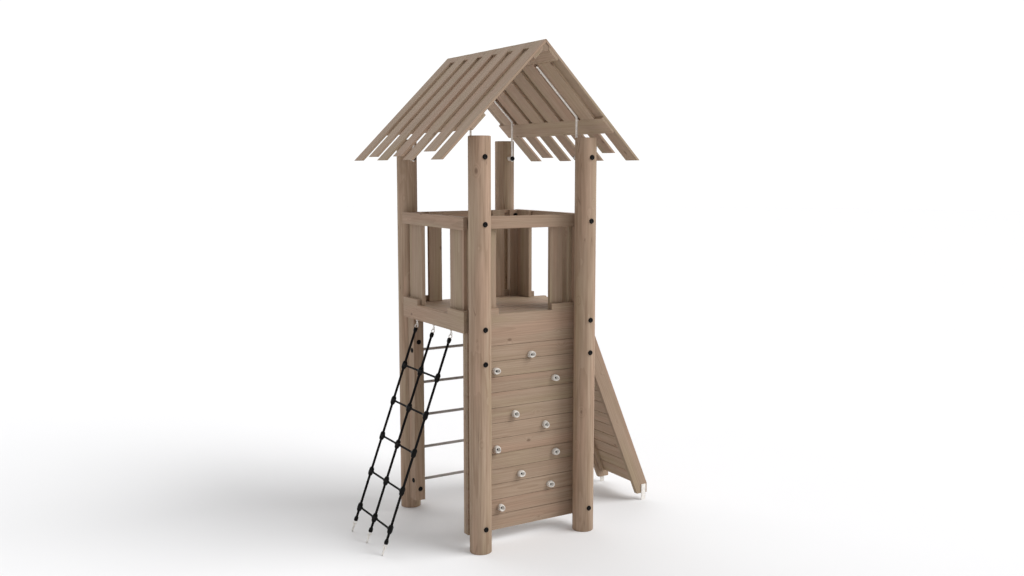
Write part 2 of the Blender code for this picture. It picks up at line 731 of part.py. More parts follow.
def make_roof():
    """Two slopes of slats and a ridge strip over inner, ridge and eave boards, and the ridge beam."""
    slope = math.tan(ROOF_ANGLE)
    pitch = SLAT_WIDTH + slat_gap()
    layers = SLAT_THICKNESS + INNER_BOARD_THICKNESS
    start = (RIDGE_BEAM_WIDTH / 2 + CLEARANCE) / math.cos(ROOF_ANGLE) + layers * slope
    for name, side in (("left", -1), ("right", 1)):
        ridge_x = CLEARANCE / 2
        shapes = []

        def layer_board(a0, a1, y0, y1):
            spots = [
                roof_point(side, a, d)
                for a, d in (
                    (a0, SLAT_THICKNESS - FUSE),
                    (a1, SLAT_THICKNESS - FUSE),
                    (a1, layers),
                    (a0, layers),
                )
            ]
            return prism(spots, y0, y1, chamfer=0)

        eave_end = EAVE_BOARD_START + EAVE_BOARD_WIDTH
        end_y = ROOF_LENGTH / 2 - FUSE
        shapes.append(layer_board(EAVE_BOARD_START, eave_end, -end_y, end_y))
        shapes.append(layer_board(start, RIDGE_BOARD_END, -end_y, end_y))
        for y0, y1 in inner_board_spans():
            shapes.append(layer_board(RIDGE_BOARD_END - FUSE, EAVE_BOARD_START + FUSE, y0, y1))
        ridge_z = RIDGE_Z - ridge_x * slope
        deep = SLAT_THICKNESS - FUSE / 2
        strip = [
            (side * ridge_x, ridge_z - FUSE / math.cos(ROOF_ANGLE)),
            roof_point(side, RIDGE_STRIP_WIDTH, FUSE),
            roof_point(side, RIDGE_STRIP_WIDTH, deep),
            (side * ridge_x, ridge_z - deep / math.cos(ROOF_ANGLE)),
        ]
        shapes.append(prism(strip, -end_y, end_y, chamfer=0))
        for i in range(SLATS):
            low = EAVE_Z
            if i == 1:
                low = EAVE_Z + SECOND_SLAT_RISE
            elif i % 2:
                low = EAVE_Z + EVEN_SLAT_RISE
            under = SLAT_THICKNESS / math.cos(ROOF_ANGLE)
            outline = [
                (side * ridge_x, RIDGE_Z - ridge_x * slope),
                (side * (RIDGE_Z - low) / slope, low),
                (side * (RIDGE_Z - low - under) / slope, low),
                (side * ridge_x, RIDGE_Z - ridge_x * slope - under),
            ]
            y0 = -ROOF_LENGTH / 2 + i * pitch
            shapes.append(prism(outline, y0, y0 + SLAT_WIDTH, chamfer=0))
        add("roof_slope_" + name, fused(shapes), "wood")
    top = RIDGE_Z - (SLAT_THICKNESS + CLEARANCE) / math.cos(ROOF_ANGLE)
    half = RIDGE_BEAM_WIDTH / 2
    outline = [
        (0, top),
        (half, top - half * slope),
        (half, RIDGE_BEAM_BOTTOM_Z),
        (-half, RIDGE_BEAM_BOTTOM_Z),
        (-half, top - half * slope),
    ]
    reach = ROOF_LENGTH / 2 - RIDGE_BEAM_INSET
    add("ridge_beam", prism(outline, -reach, reach, chamfer=0), "wood")


def arm_depth(y):
    """How deep under the slats an arm's axis lies, so that it just touches what is over it."""
    reach = ARM_DIAMETER / 2 + CLEARANCE
    beside = min(max(y0 - y, y - y1, 0) for y0, y1 in inner_board_spans())
    if beside < reach:
        return SLAT_THICKNESS + INNER_BOARD_THICKNESS + math.sqrt(reach ** 2 - beside ** 2)
    return SLAT_THICKNESS + reach


def make_arms():
    """Bent round arms that stand off the post tops and run up under the slopes."""
    for corner, sx, sy in corners():
        offset = POST_RADIUS + ARM_STANDOFF + ARM_DIAMETER / 2
        y = inward(sy, offset)
        depth = arm_depth(y)
        meet = (HALF_X + depth * math.sin(ROOF_ANGLE)) / math.cos(ROOF_ANGLE)
        bend_x, bend_z = roof_point(1, meet, depth)
        turn = math.pi / 2 - ROOF_ANGLE
        back = ARM_BEND_RADIUS * math.tan(turn / 2)
        centre = (bend_x - ARM_BEND_RADIUS, bend_z - back)
        path = [(bend_x, ARM_BOTTOM_Z)]
        for i in range(ARM_BEND_STEPS + 1):
            step = turn * i / ARM_BEND_STEPS
            bend = (ARM_BEND_RADIUS * math.cos(step), ARM_BEND_RADIUS * math.sin(step))
            path.append((centre[0] + bend[0], centre[1] + bend[1]))
        path.append(roof_point(1, ARM_TOP_FROM_RIDGE, depth))
        path = [(sx * px, pz) for px, pz in path]
        tube = swept(path, y, ARM_DIAMETER, ARM_SIDES)
        x = sx * HALF_X
        spacer_start = (x, inward(sy, POST_RADIUS + CLEARANCE), BOLT_ROOF_Z)
        spacer = rod(spacer_start, (x, y, BOLT_ROOF_Z), SPACER_DIAMETER, CAP_SIDES)
        arm_back = offset + ARM_DIAMETER / 2
        head = cap(x, inward(sy, arm_back), BOLT_ROOF_Z, -sy, ARM_DIAMETER / 2)
        add("roof_arm_" + corner, fused([tube, spacer, head]), "steel", True)


def net_line():
    """The top point, ground point and downward direction of the net's ropes, in X and Z."""
    top = Vector((-SIDE_MIDDLE_X - NET_TOP_OUT, 0, FASCIA_BOTTOM_Z - EYE_DROP))
    ground = Vector((-SIDE_MIDDLE_X - NET_REACH, 0, 0))
    return top, ground, (ground - top).normalized()


def make_net():
    """The rope net with its connectors and end fittings, and the anchors in the ground."""
    top, ground, down = net_line()
    sideways = Vector((0, 1, 0))
    square = down.cross(sideways)
    lengthwise = [NET_OFFSET_Y + ROPE_SPACING * (i - 1) for i in range(3)]
    first_row = (top.z - NET_TOP_ROW_Z) / -down.z
    length = (ground - top).length
    link_gap = EYE_RADIUS + LINK_RADIUS - (EYE_WIRE + LINK_WIRE) / 2 - CLEARANCE
    low_eye = length - ANCHOR_EYE_HEIGHT / -down.z
    low_link = low_eye - link_gap
    low_ferrule = low_link - LINK_RADIUS + LINK_WIRE / 4
    high_link = EYE_RADIUS + LINK_RADIUS - (EYE_WIRE + LINK_WIRE) / 4
    high_ferrule = high_link + LINK_RADIUS - LINK_WIRE / 4
    shapes = []
    for y in lengthwise:
        along = lambda s, y=y: top + down * s + sideways * y
        rope_ends = (along(high_ferrule + FUSE), along(low_ferrule - FUSE))
        shapes.append(rod(*rope_ends, ROPE_DIAMETER, ROPE_SIDES))
        shank_top = Vector((top.x, y, FASCIA_BOTTOM_Z - CLEARANCE))
        shank_end = shank_top - Vector((0, 0, EYE_DROP - EYE_RADIUS))
        shapes.append(rod(shank_top, shank_end, EYE_SHANK, ROPE_SIDES))
        shapes.append(ring(along(0), (0, 0, 1), sideways, EYE_RADIUS, EYE_WIRE))
        shapes.append(ring(along(high_link), down, square, LINK_RADIUS, LINK_WIRE))
        for start in (high_ferrule, low_ferrule - FERRULE_LENGTH):
            ends = (along(start), along(start + FERRULE_LENGTH))
            shapes.append(rod(*ends, FERRULE_DIAMETER, ROPE_SIDES, FERRULE_CHAMFER))
        shapes.append(ring(along(low_link), down, square, LINK_RADIUS, LINK_WIRE))
    for row in range(NET_ROWS):
        s = first_row + row * NET_ROW_PITCH
        for i, y in enumerate(lengthwise):
            here = top + down * s + sideways * y
            half = down * CONNECTOR_LENGTH / 2
            shapes.append(rod(here - half, here + half, CONNECTOR_DIAMETER, ROPE_SIDES, CONNECTOR_CHAMFER))
            left = SOCKET_LENGTH if i > 0 else 0
            right = SOCKET_LENGTH if i < len(lengthwise) - 1 else 0
            sockets = (here - sideways * left, here + sideways * right)
            shapes.append(rod(*sockets, SOCKET_DIAMETER, ROPE_SIDES))
        ends = [top + down * s + sideways * y for y in (lengthwise[0], lengthwise[-1])]
        shapes.append(rod(ends[0], ends[1], CROSS_ROPE_DIAMETER, ROPE_SIDES))
    add("rope_net", fused(shapes), "rope", True)
    for number, y in enumerate(lengthwise, 1):
        eye = top + down * low_eye + sideways * y
        start = eye + down * (EYE_RADIUS - EYE_WIRE / 3)
        end = ground + sideways * y + down * ANCHOR_ROD
        loop = ring(eye, down, sideways, EYE_RADIUS, EYE_WIRE, 14)
        body = fused([rod(start, end, ANCHOR_ROD, ANCHOR_SIDES), loop])
        soil_xs = (ground.x - SOIL_REACH, ground.x + SOIL_REACH)
        soil = block(soil_xs, (y - SOIL_REACH, y + SOIL_REACH), (-SOIL_DEPTH, 0), 0)
        add("ground_anchor_%d" % number, cut(body, [soil]), "steel", True)


def outline_middle():
    """The X of the middle of the whole outline, from the net's anchors to the ramp's toe."""
    top, ground, down = net_line()
    left = ground.x - ANCHOR_ROD / 2 / -down.z
    return (left + toe_x()) / 2


for old in list(bpy.data.objects):
    bpy.data.objects.remove(old)

frame = bpy.data.objects.new("tower_frame", None)
frame.location = (-outline_middle(), 0, 0)
bpy.context.scene.collection.objects.link(frame)

make_posts()
make_upper_stiles()
make_fascias()
make_top_rails()
make_balusters()
make_deck()
make_wall()
make_holds()
make_ladder()
make_ramp()
make_roof()
make_arms()
make_net()
bpy.context.view_layer.update()
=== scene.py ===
"""Climbing tower, the visual model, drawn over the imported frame.

Round posts, boarded sides, a pitched slat roof, a climbing wall, a rope net, a ladder and a ramp.
Metres, +Z up. The climbing wall is at the front (-Y), the ladder at the back (+Y), the net on the left (-X)
and the ramp on the right (+X).
"""

import random
from functools import partial
from math import cos, pi, radians, sin, sqrt, tan

import bmesh
import bpy
from bpy.props import FloatProperty, FloatVectorProperty, IntProperty, PointerProperty
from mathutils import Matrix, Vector


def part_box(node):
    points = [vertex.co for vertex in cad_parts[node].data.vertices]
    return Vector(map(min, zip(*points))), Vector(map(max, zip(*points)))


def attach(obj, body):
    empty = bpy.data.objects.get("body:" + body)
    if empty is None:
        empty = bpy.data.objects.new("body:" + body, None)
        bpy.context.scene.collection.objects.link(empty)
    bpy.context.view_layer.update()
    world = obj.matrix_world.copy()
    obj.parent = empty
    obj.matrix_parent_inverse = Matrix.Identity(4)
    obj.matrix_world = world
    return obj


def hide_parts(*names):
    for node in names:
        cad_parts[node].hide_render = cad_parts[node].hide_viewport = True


bl_info = {
    "name": "Climbing tower",
    "version": (1, 0, 0),
    "blender": (4, 5, 0),
    "location": "3D View > Sidebar > Tower",
    "description": "Builds a wooden climbing tower with a net, a ladder, a ramp and a slat roof",
    "category": "Add Mesh",
}

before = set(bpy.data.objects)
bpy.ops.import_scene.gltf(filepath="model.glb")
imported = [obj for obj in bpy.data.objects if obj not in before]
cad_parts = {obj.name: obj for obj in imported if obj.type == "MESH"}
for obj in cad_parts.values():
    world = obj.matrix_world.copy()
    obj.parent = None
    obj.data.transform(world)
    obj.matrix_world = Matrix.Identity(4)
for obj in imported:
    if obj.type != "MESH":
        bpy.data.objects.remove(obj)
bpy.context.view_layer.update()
BOX = {name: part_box(name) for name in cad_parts}

# The gap that the frame leaves between neighbouring pieces
CLEARANCE = 0.0003

# Places of the bolts' caps, the same as in the CAD
ROOF_BOLT_UNDER_POST_TOP = 0.127
DECK_BOLT_UNDER_DECK = 0.062
UPPER_BOLT_UNDER_WALL_TOP = 0.076
LOWER_BOLT_OVER_WALL_BOTTOM = 0.085

# How much the packing pieces stop short of their boards' upper ends
PACKING_SHORT = 0.0025

UP = Vector((0, 0, 1))
ALONG_X = Vector((1, 0, 0))
ALONG_Y = Vector((0, 1, 0))


def linear(text):
    """A colour written as #rrggbb in sRGB, as linear values."""
    parts = [int(text[i:i + 2], 16) / 255 for i in (1, 3, 5)]
    return tuple(c / 12.92 if c <= 0.04045 else ((c + 0.055) / 1.055) ** 2.4 for c in parts)


def length(name, description, default):
    """A size in metres."""
    return FloatProperty(name=name, description=description, default=default, min=0, unit="LENGTH")


def colour(name, description, default):
    """A colour, given as sRGB text."""
    return FloatVectorProperty(
        name=name, description=description, default=linear(default), subtype="COLOR", size=3, min=0, max=1
    )


class TowerSizes(bpy.types.PropertyGroup):
    """Sizes of the tower that the frame's boxes don't give."""

    post_rounding: length("Post rounding", "Rounding of the posts' top edge", 0.005)
    board_edge: length("Board edge", "Rounding of the boards' planed edges", 0.0032)
    slat_edge: length("Slat edge", "Rounding of the thin roof slats' edges", 0.0022)
    packing_width: length("Packing width", "Width of the packing pieces behind the posts", 0.040)
    stile_thickness: length("Stile thickness", "Thickness of the upper stiles", 0.028)
    batten_width: length("Batten width", "Width of the climbing wall's battens", 0.076)
    front_notch: length("Front notch", "Width of the notch in the front and back fascias", 0.403)
    side_notch: length("Side notch", "Width of the notch in the side fascias", 0.441)
    notch_depth: length("Notch depth", "Depth of the notches in the fascias", 0.040)
    deck_thickness: length("Deck thickness", "Thickness of the deck boards", 0.028)
    deck_gap: length("Deck gap", "Gap between the deck boards", 0.005)
    ledger_thickness: length("Ledger thickness", "Thickness of the ledgers under the deck", 0.030)
    wall_bottom: length("Wall bottom", "Height of the climbing wall's lower edge", 0.078)
    wall_gap: length("Wall gap", "Gap between the boards of the climbing wall", 0.0016)
    wall_boards: IntProperty(name="Wall boards", description="Boards of the climbing wall", default=12, min=1)
    cap_diameter: length("Cap diameter", "Diameter of the bolts' black caps", 0.033)
    cap_height: length("Cap height", "Height of the bolts' black caps", 0.007)
    rung_diameter: length("Rung diameter", "Diameter of the ladder's rungs", 0.020)
    stringer_width: length("Stringer width", "Width of the ramp's stringers", 0.1105)
    ramp_recess: length("Ramp recess", "Depth of the ramp boards under the stringers' upper edge", 0.028)
    ramp_thickness: length("Ramp thickness", "Thickness of the ramp boards", 0.028)
    cleat_size: length("Cleat size", "Width and height of the cleats under the ramp boards", 0.027)
    slat_width: length("Slat width", "Width of the roof slats", 0.122)
    slat_thickness: length("Slat thickness", "Thickness of the roof slats", 0.016)
    inner_width: length("Inner board width", "Width of the boards behind the gaps of the slats", 0.150)
    inner_thickness: length("Inner board thickness", "Thickness of the boards behind the slats", 0.018)
    ridge_strip: length("Ridge strip", "Width of the strip along the ridge between the slats", 0.060)
    ridge_board: length("Ridge board", "How far the ridge boards reach down the slopes", 0.147)
    beam_show: length("Beam show", "How much of the ridge beam shows under the boards", 0.006)
    arm_diameter: length("Arm diameter", "Diameter of the bent arms under the roof", 0.014)
    spacer_diameter: length("Spacer diameter", "Diameter of the spacers between posts and arms", 0.034)
    rope_diameter: length("Rope diameter", "Diameter of the net's long ropes", 0.016)
    cross_diameter: length("Cross rope diameter", "Diameter of the net's cross ropes", 0.013)
    rope_lay: length("Rope lay", "Length of one full turn of the ropes' strands", 0.090)


class TowerColours(bpy.types.PropertyGroup):
    """Colours of the tower."""

    pine: colour("Pine", "Ground colour of the planed pine", "#ab9581")
    pine_dark: colour("Late wood", "Colour of the growth rings' dark lines", "#8a735e")
    pine_olive: colour("Olive tint", "Colour of the faint greenish patches of impregnated pine", "#a59779")
    pine_rose: colour("Rose tint", "Colour of the faint reddish patches of impregnated pine", "#b08f7b")
    knot: colour("Knot", "Colour of the knots", "#6b5443")
    black: colour("Black plastic", "Colour of the caps and the net's connectors", "#090807")
    rope: colour("Rope", "Colour of the ropes' yarn", "#0b0a0a")
    zinc: colour("Zinc", "Colour of the galvanised steel", "#efebe5")
    rung: colour("Rung", "Colour of the ladder's dark steel rungs", "#a39d99")
    hold: colour("Hold", "Colour of the climbing holds", "#dcd8d2")
    floor: colour("Floor", "Colour of the studio floor", "#ebebec")


def put(tree, kind, inputs=None, **settings):
    """Adds one node of a kind, or kind and operation, with its settings.

    An input is a value, a socket, or a node for its first output.
    """
    kind, _, operation = kind.partition(" ")
    made = tree.nodes.new(kind if "Node" in kind else "ShaderNode" + kind)
    if operation:
        made.operation = operation
    for key, value in settings.items():
        setattr(made, key, value)
    for key, value in (inputs or {}).items():
        if isinstance(value, bpy.types.Node):
            value = value.outputs[0]
        if isinstance(value, bpy.types.NodeSocket):
            tree.links.new(value, made.inputs[key])
        else:
            made.inputs[key].default_value = value
    return made


def emptied(holder):
    """The empty node tree of a material or a world."""
    holder.use_nodes = True
    holder.node_tree.nodes.clear()
    return holder.node_tree


def new_material(name):
    """A material, put() for its tree, and each point's place on the object."""
    made = bpy.data.materials.new(name)
    add = partial(put, emptied(made))
    return made, add, add("TexCoord").outputs["Object"]


def finished(made, tint, inputs):
    """Ends a material's tree with its Principled shader."""
    add = partial(put, made.node_tree)
    add("OutputMaterial", {"Surface": add("BsdfPrincipled", {"Base Color": tint, **inputs})})
    return made


def wood(name, light=1.0, checks=0.0):
    """Planed pine: rings round each board's own pith, fibres along its grain, knots and drying checks."""
    colours = bpy.context.scene.tower_colours
    made, add, place = new_material(name)
    grain = add("Attribute", attribute_name="grain").outputs["Vector"]
    pith = add("Attribute", attribute_name="pith").outputs["Vector"]
    seed = add("Attribute", attribute_name="seed").outputs["Fac"]

    # Each point as a distance along its board's grain and a vector across it from the pith
    local = add("VectorMath SUBTRACT", {0: place, 1: pith})
    run = add("VectorMath DOT_PRODUCT", {0: local, 1: grain}).outputs["Value"]
    along = add("VectorMath SCALE", {0: grain, "Scale": run})
    across = add("VectorMath SUBTRACT", {0: local, 1: along})
    shift = add("VectorMath SCALE", {0: (37.1, 17.3, 53.7), "Scale": seed})
    base = add("VectorMath ADD", {0: across, 1: shift})
    # Places with their way along the grain shortened, so that patterns stretch along it
    places = []
    for share in (0.10, 0.03, 0.60):
        step = add("VectorMath SCALE", {0: along, "Scale": share})
        places.append(add("VectorMath ADD", {0: base, 1: step}))
    slow, fine, spots = places

    # Small knots, some 20 mm wide and far apart, that the rings flow round
    cells = add("TexVoronoi", {"Vector": spots, "Scale": 8.0, "Randomness": 1.0})
    knot = add("MapRange", {0: cells, 1: 0.110, 2: 0.040, 4: 0.75}, interpolation_type="SMOOTHSTEP")
    halo = add("MapRange", {0: cells, 1: 0.26, 2: 0.03}, interpolation_type="SMOOTHSTEP")

    # Growth rings, 9 mm apart and wavy: flame figure on the faces and arcs on the ends
    radius = add("VectorMath LENGTH", {0: across}).outputs["Value"]
    waves = add("TexNoise", {"Vector": slow, "Scale": 9.0, "Detail": 2.0, "Roughness": 0.45})
    bend = add("Math MULTIPLY_ADD", {0: waves, 1: 0.050, 2: radius})
    flow = add("Math MULTIPLY_ADD", {0: halo, 1: 0.018, 2: bend})
    count = add("Math MULTIPLY", {0: flow, 1: 1 / 0.009})
    ring = add("Math FRACT", {0: count})
    late = add("MapRange", {0: ring, 1: 0.25, 2: 0.92}, interpolation_type="SMOOTHSTEP")

    # Fibres, 3 mm wide and some 10 cm long: the fine streaks that show first on planed pine
    fibres = add("TexNoise", {"Vector": fine, "Scale": 300.0, "Detail": 3.0, "Roughness": 0.6})
    streaks = add("TexNoise", {"Vector": fine, "Scale": 70.0, "Detail": 3.0, "Roughness": 0.6})
    fibre = add("MapRange", {0: fibres, 1: 0.30, 2: 0.72})
    streak = add("MapRange", {0: streaks, 1: 0.32, 2: 0.70})

    # Faint olive and rose patches that the preservative leaves, a hand wide and near a metre long
    patches = add("TexNoise", {"Vector": slow, "Scale": 11.0, "Detail": 1.0})
    olive = add("MapRange", {0: patches, 1: 0.52, 2: 0.68, 4: 0.50})
    rose = add("MapRange", {0: patches, 1: 0.48, 2: 0.34, 4: 0.55})

    # Dark share of the rings, streaks and fibres; streaks show most on the round posts
    half_rings = add("Math MULTIPLY", {0: late, 1: 0.26})
    streaky = 0.66 if checks else 0.42
    with_streaks = add("Math MULTIPLY_ADD", {0: streak, 1: streaky, 2: half_rings})
    dark = add("Math MULTIPLY_ADD", {0: fibre, 1: 0.22, 2: with_streaks})
    tints = ((olive, colours.pine_olive), (rose, colours.pine_rose))
    tints += ((dark, colours.pine_dark), (knot, colours.knot))
    tinted = (*colours.pine, 1)
    for share, tint in tints:
        tinted = add("Mix", {0: share, 6: tinted, 7: (*tint, 1)}, data_type="RGBA").outputs[2]

    # Each board's own tone, and the darker end grain
    tone = add("Math MULTIPLY_ADD", {0: seed, 1: 0.07, 2: 0.965 * light})
    normal = add("TexCoord").outputs["Normal"]
    facing = add("VectorMath DOT_PRODUCT", {0: normal, 1: grain}).outputs["Value"]
    end = add("Math ABSOLUTE", {0: facing})
    end_tone = add("MapRange", {0: end, 1: 0.75, 2: 0.95, 3: 1.0, 4: 0.80})
    shade = add("Math MULTIPLY", {0: tone, 1: end_tone})
    surface = add("VectorMath SCALE", {0: tinted, "Scale": shade})
    height = add("Math MULTIPLY_ADD", {0: late, 1: -0.35, 2: fibre})
    if checks:
        # Drying checks of a round post: thin dark splits, up to half a metre long
        split_step = add("VectorMath SCALE", {0: along, "Scale": 0.05})
        split_place = add("VectorMath ADD", {0: base, 1: split_step})
        splits = add("TexNoise", {"Vector": split_place, "Scale": 26.0, "Detail": 1.0})
        off = add("Math SUBTRACT", {0: splits, 1: 0.5})
        away = add("Math ABSOLUTE", {0: off})
        line = add("MapRange", {0: away, 1: 0.012, 2: 0.003})
        broken = add("TexNoise", {"Vector": slow, "Scale": 14.0})
        where = add("MapRange", {0: broken, 1: 0.52, 2: 0.60, 4: checks})
        check = add("Math MULTIPLY", {0: line, 1: where})
        surface = add("Mix", {0: check, 6: surface, 7: (*colours.knot, 1)}, data_type="RGBA").outputs[2]
        height = add("Math MULTIPLY_ADD", {0: check, 1: -2.0, 2: height})
    bump = add("Bump", {"Strength": 0.45, "Distance": 0.0006, "Height": height})
    rough = add("MapRange", {0: fibre, 3: 0.62, 4: 0.80})
    return finished(made, surface, {"Roughness": rough, "Normal": bump, "Specular IOR Level": 0.3})


def plastic(name, tint, roughness, grain_scale, depth):
    """Moulded plastic: one tint with a faint mottle and the fine pebbled skin of the mould."""
    made, add, place = new_material(name)
    mottle = add("TexNoise", {"Vector": place, "Scale": 60.0, "Detail": 3.0})
    tone = add("MapRange", {0: mottle, 1: 0.3, 2: 0.7, 3: 0.82, 4: 1.12})
    tinted = add("VectorMath SCALE", {0: tint, "Scale": tone})
    pebbles = add("TexNoise", {"Vector": place, "Scale": grain_scale, "Detail": 2.0})
    bump = add("Bump", {"Strength": 0.5, "Distance": depth, "Height": pebbles})
    rough = add("MapRange", {0: mottle, 1: 0.3, 2: 0.7, 3: roughness - 0.06, 4: roughness + 0.08})
    return finished(made, tinted, {"Roughness": rough, "Normal": bump, "Specular IOR Level": 0.14})


def metal(name, tint, roughness, spangle, contrast, bare=1.0):
    """Steel with a crystalline or drawn skin; bare is the share that no dull zinc salt or oil film covers."""
    made, add, place = new_material(name)
    cells = add("TexVoronoi", {"Vector": place, "Scale": spangle, "Randomness": 1.0})
    level = add("SeparateColor", {0: cells.outputs["Color"]})
    tone = add("MapRange", {0: level, 3: 1.0 - contrast, 4: 1.0 + contrast / 2})
    tinted = add("VectorMath SCALE", {0: tint, "Scale": tone})
    clouds = add("TexNoise", {"Vector": place, "Scale": 40.0, "Detail": 3.0})
    rough = add("MapRange", {0: clouds, 1: 0.3, 2: 0.7, 3: roughness - 0.08, 4: roughness + 0.10})
    pits = add("TexNoise", {"Vector": place, "Scale": 900.0, "Detail": 2.0})
    bump = add("Bump", {"Strength": 0.3, "Distance": 0.0002, "Height": pits})
    return finished(made, tinted, {"Roughness": rough, "Normal": bump, "Metallic": bare})


def yarn(name, tint):
    """Polyester yarn laid round a rope's strands: short slanted filaments with a dull sheen."""
    made, add, place = new_material(name)
    turned = add("Mapping", {"Vector": place, "Rotation": (0.5, 0.4, 0.0), "Scale": (1, 1, 0.12)})
    threads = add("TexNoise", {"Vector": turned, "Scale": 900.0, "Detail": 2.0})
    tone = add("MapRange", {0: threads, 1: 0.3, 2: 0.7, 3: 0.6, 4: 1.5})
    tinted = add("VectorMath SCALE", {0: tint, "Scale": tone})
    bump = add("Bump", {"Strength": 0.6, "Distance": 0.0006, "Height": threads})
    return finished(made, tinted, {"Normal": bump, "Roughness": 0.75, "Specular IOR Level": 0.15})


MATERIALS = {}


def material(key):
    """One of the tower's materials, made when it is first asked for."""
    if key not in MATERIALS:
        colours = bpy.context.scene.tower_colours
        makers = {
            # Round posts, turned and planed: few checks, a slightly lighter skin
            "post": (wood, "pine_post_turned", 1.11, 0.55),
            # Sawn and planed boards of the railing, the walls, the ladder and the ramp's stringers
            "board": (wood, "pine_board_planed", 1.0),
            # Thin roof boards, a little darker from the weather
            "roof": (wood, "pine_slat_weathered", 0.95),
            # Deck boards, a little darker than the other boards
            "deck": (wood, "pine_deck_trodden", 0.86),
            # Boards under the roof and behind the ramp, seen from below: a lighter copy of the board pine,
            # painted light for the light that falls on their undersides
            "sheltered": (wood, "pine_board_sheltered", 1.13),
            # Injection moulded polyamide with a fine spark-eroded skin, satin black
            "cap": (plastic, "polyamide_cap_moulded", colours.black, 0.55, 900.0, 0.0002),
            # Polyamide connectors, matt from wear
            "connector": (plastic, "polyamide_connector_moulded", colours.black, 0.52, 600.0, 0.0003),
            # Cast resin filled with sand, which gives the holds their grip and their chalky look
            "hold": (plastic, "resin_hold_sand_cast", colours.hold, 0.80, 700.0, 0.0008),
            # Hot-dip zinc, faintly spangled under a dull pale skin of zinc salts
            "zinc": (metal, "steel_hot_dip_galvanised", colours.zinc, 0.45, 90.0, 0.14, 0.35),
            # Bright drawn steel of the eyes and links, which mirrors what is round it
            "bright": (metal, "steel_bright_drawn", colours.zinc, 0.30, 120.0, 0.10),
            # Drawn bar under a dull brown oil film
            "rung": (metal, "steel_bar_dark_drawn", colours.rung, 0.45, 60.0, 0.10, 0.5),
            # Laid combination rope with black polyester yarn
            "rope": (yarn, "polyester_rope_laid", colours.rope),
        }
        maker, *values = makers[key]
        MATERIALS[key] = maker(*values)
    return MATERIALS[key]


def round_about(first, second, count):
    """Angles all round, each with its direction in the plane of two directions."""
    for j in range(count):
        turn = 2 * pi * j / count
        yield turn, first * cos(turn) + second * sin(turn)


def skin(rows, closed=False, bm=None):
    """A mesh over rows of points, which end in caps or close on themselves; it can add to another mesh."""
    bm = bmesh.new() if bm is None else bm
    rows = [[bm.verts.new(spot) for spot in row] for row in rows]
    for a, b in zip(rows, rows[1:] + rows[:1] if closed else rows[1:]):
        for j in range(len(a)):
            k = (j + 1) % len(a)
            bm.faces.new((a[j], a[k], b[k], b[j]))
    if not closed:
        bm.faces.new(rows[0])
        bm.faces.new(rows[-1])
    bmesh.ops.recalc_face_normals(bm, faces=bm.faces)
    return bm


def prism(outline, start, end, axis="Y"):
    """An outline in the plane across the axis, extruded from start to end along it."""
    at = "XYZ".index(axis)
    return skin([[(*spot[:at], t, *spot[at:]) for spot in outline] for t in (start, end)])


def block(xs, ys, zs):
    """A box between two values along each axis, in either order."""
    x0, x1 = sorted(xs)
    y0, y1 = sorted(ys)
    return prism([(x0, y0), (x1, y0), (x1, y1), (x0, y1)], *sorted(zs), axis="Z")


def whole(name):
    """The box of one node."""
    return block(*zip(*BOX[name]))


def lathe(profile, origin, axis, sides, bm=None):
    """A closed turned body; profile points are (distance along the axis, radius)."""
    axis = Vector(axis).normalized()
    first = axis.orthogonal().normalized()
    rows = []
    for distance, radius in profile:
        spot = Vector(origin) + axis * distance
        around = round_about(first, axis.cross(first), sides)
        rows.append([spot + out * radius for turn, out in around])
    return skin(rows, bm=bm)


def torus(centre, first, second, radius, wire, steps=32, sides=12):
    """A closed ring of round wire in the plane of two directions."""
    first = Vector(first).normalized()
    second = Vector(second).normalized()
    across = first.cross(second).normalized()
    rows = []
    for turn, out in round_about(first, second, steps):
        spot = Vector(centre) + out * radius
        rows.append([spot + way * (wire / 2) for roll, way in round_about(out, across, sides)])
    return skin(rows, closed=True)


def tube(path, radius, sides, lobes=0, lay=1.0):
    """A tube along a path, with flat ends; lobes are strands that turn round it once in each lay."""
    rows = []
    travelled = 0.0
    side = None
    for i, spot in enumerate(path):
        before = path[max(i - 1, 0)]
        after = path[min(i + 1, len(path) - 1)]
        along = (after - before).normalized()
        if side is None:
            side = along.orthogonal().normalized()
        side = (side - along * side.dot(along)).normalized()
        if i:
            travelled += (spot - path[i - 1]).length
        twist = 2 * pi * travelled / lay
        rows.append([])
        for turn, out in round_about(side, along.cross(side), sides):
            bulge = 0.84 + 0.16 * abs(cos(lobes / 2 * (turn - twist))) if lobes else 1.0
            rows[-1].append(spot + out * radius * bulge)
    return skin(rows)


def straight(start, end, count):
    """Points along a straight line, in equal steps."""
    return [start.lerp(end, i / count) for i in range(count + 1)]


def as_object(name, bm):
    """A linked object with a smooth-shaded mesh."""
    mesh = bpy.data.meshes.new(name)
    bm.to_mesh(mesh)
    bm.free()
    mesh.shade_smooth()
    made = bpy.data.objects.new(name, mesh)
    bpy.context.scene.collection.objects.link(made)
    return made


def mark(mesh, name, value):
    """Gives every point of the mesh the same named value."""
    kind = "FLOAT" if isinstance(value, float) else "FLOAT_VECTOR"
    layer = mesh.attributes.new(name, kind, "POINT")
    if kind == "FLOAT":
        layer.data.foreach_set("value", [value] * len(mesh.vertices))
    else:
        layer.data.foreach_set("vector", list(value) * len(mesh.vertices))


def off_centre(grain, draw):
    """A random way across the grain to the pith, as boards are cut beside it."""
    first = Vector(grain).orthogonal().normalized()
    second = Vector(grain).cross(first)
    turn = draw.uniform(0, 2 * pi)
    return (first * cos(turn) + second * sin(turn)) * draw.uniform(0.05, 0.12)


def middle_of(made):
    """The mean of an object's points."""
    return sum((v.co for v in made.data.vertices), Vector()) / len(made.data.vertices)


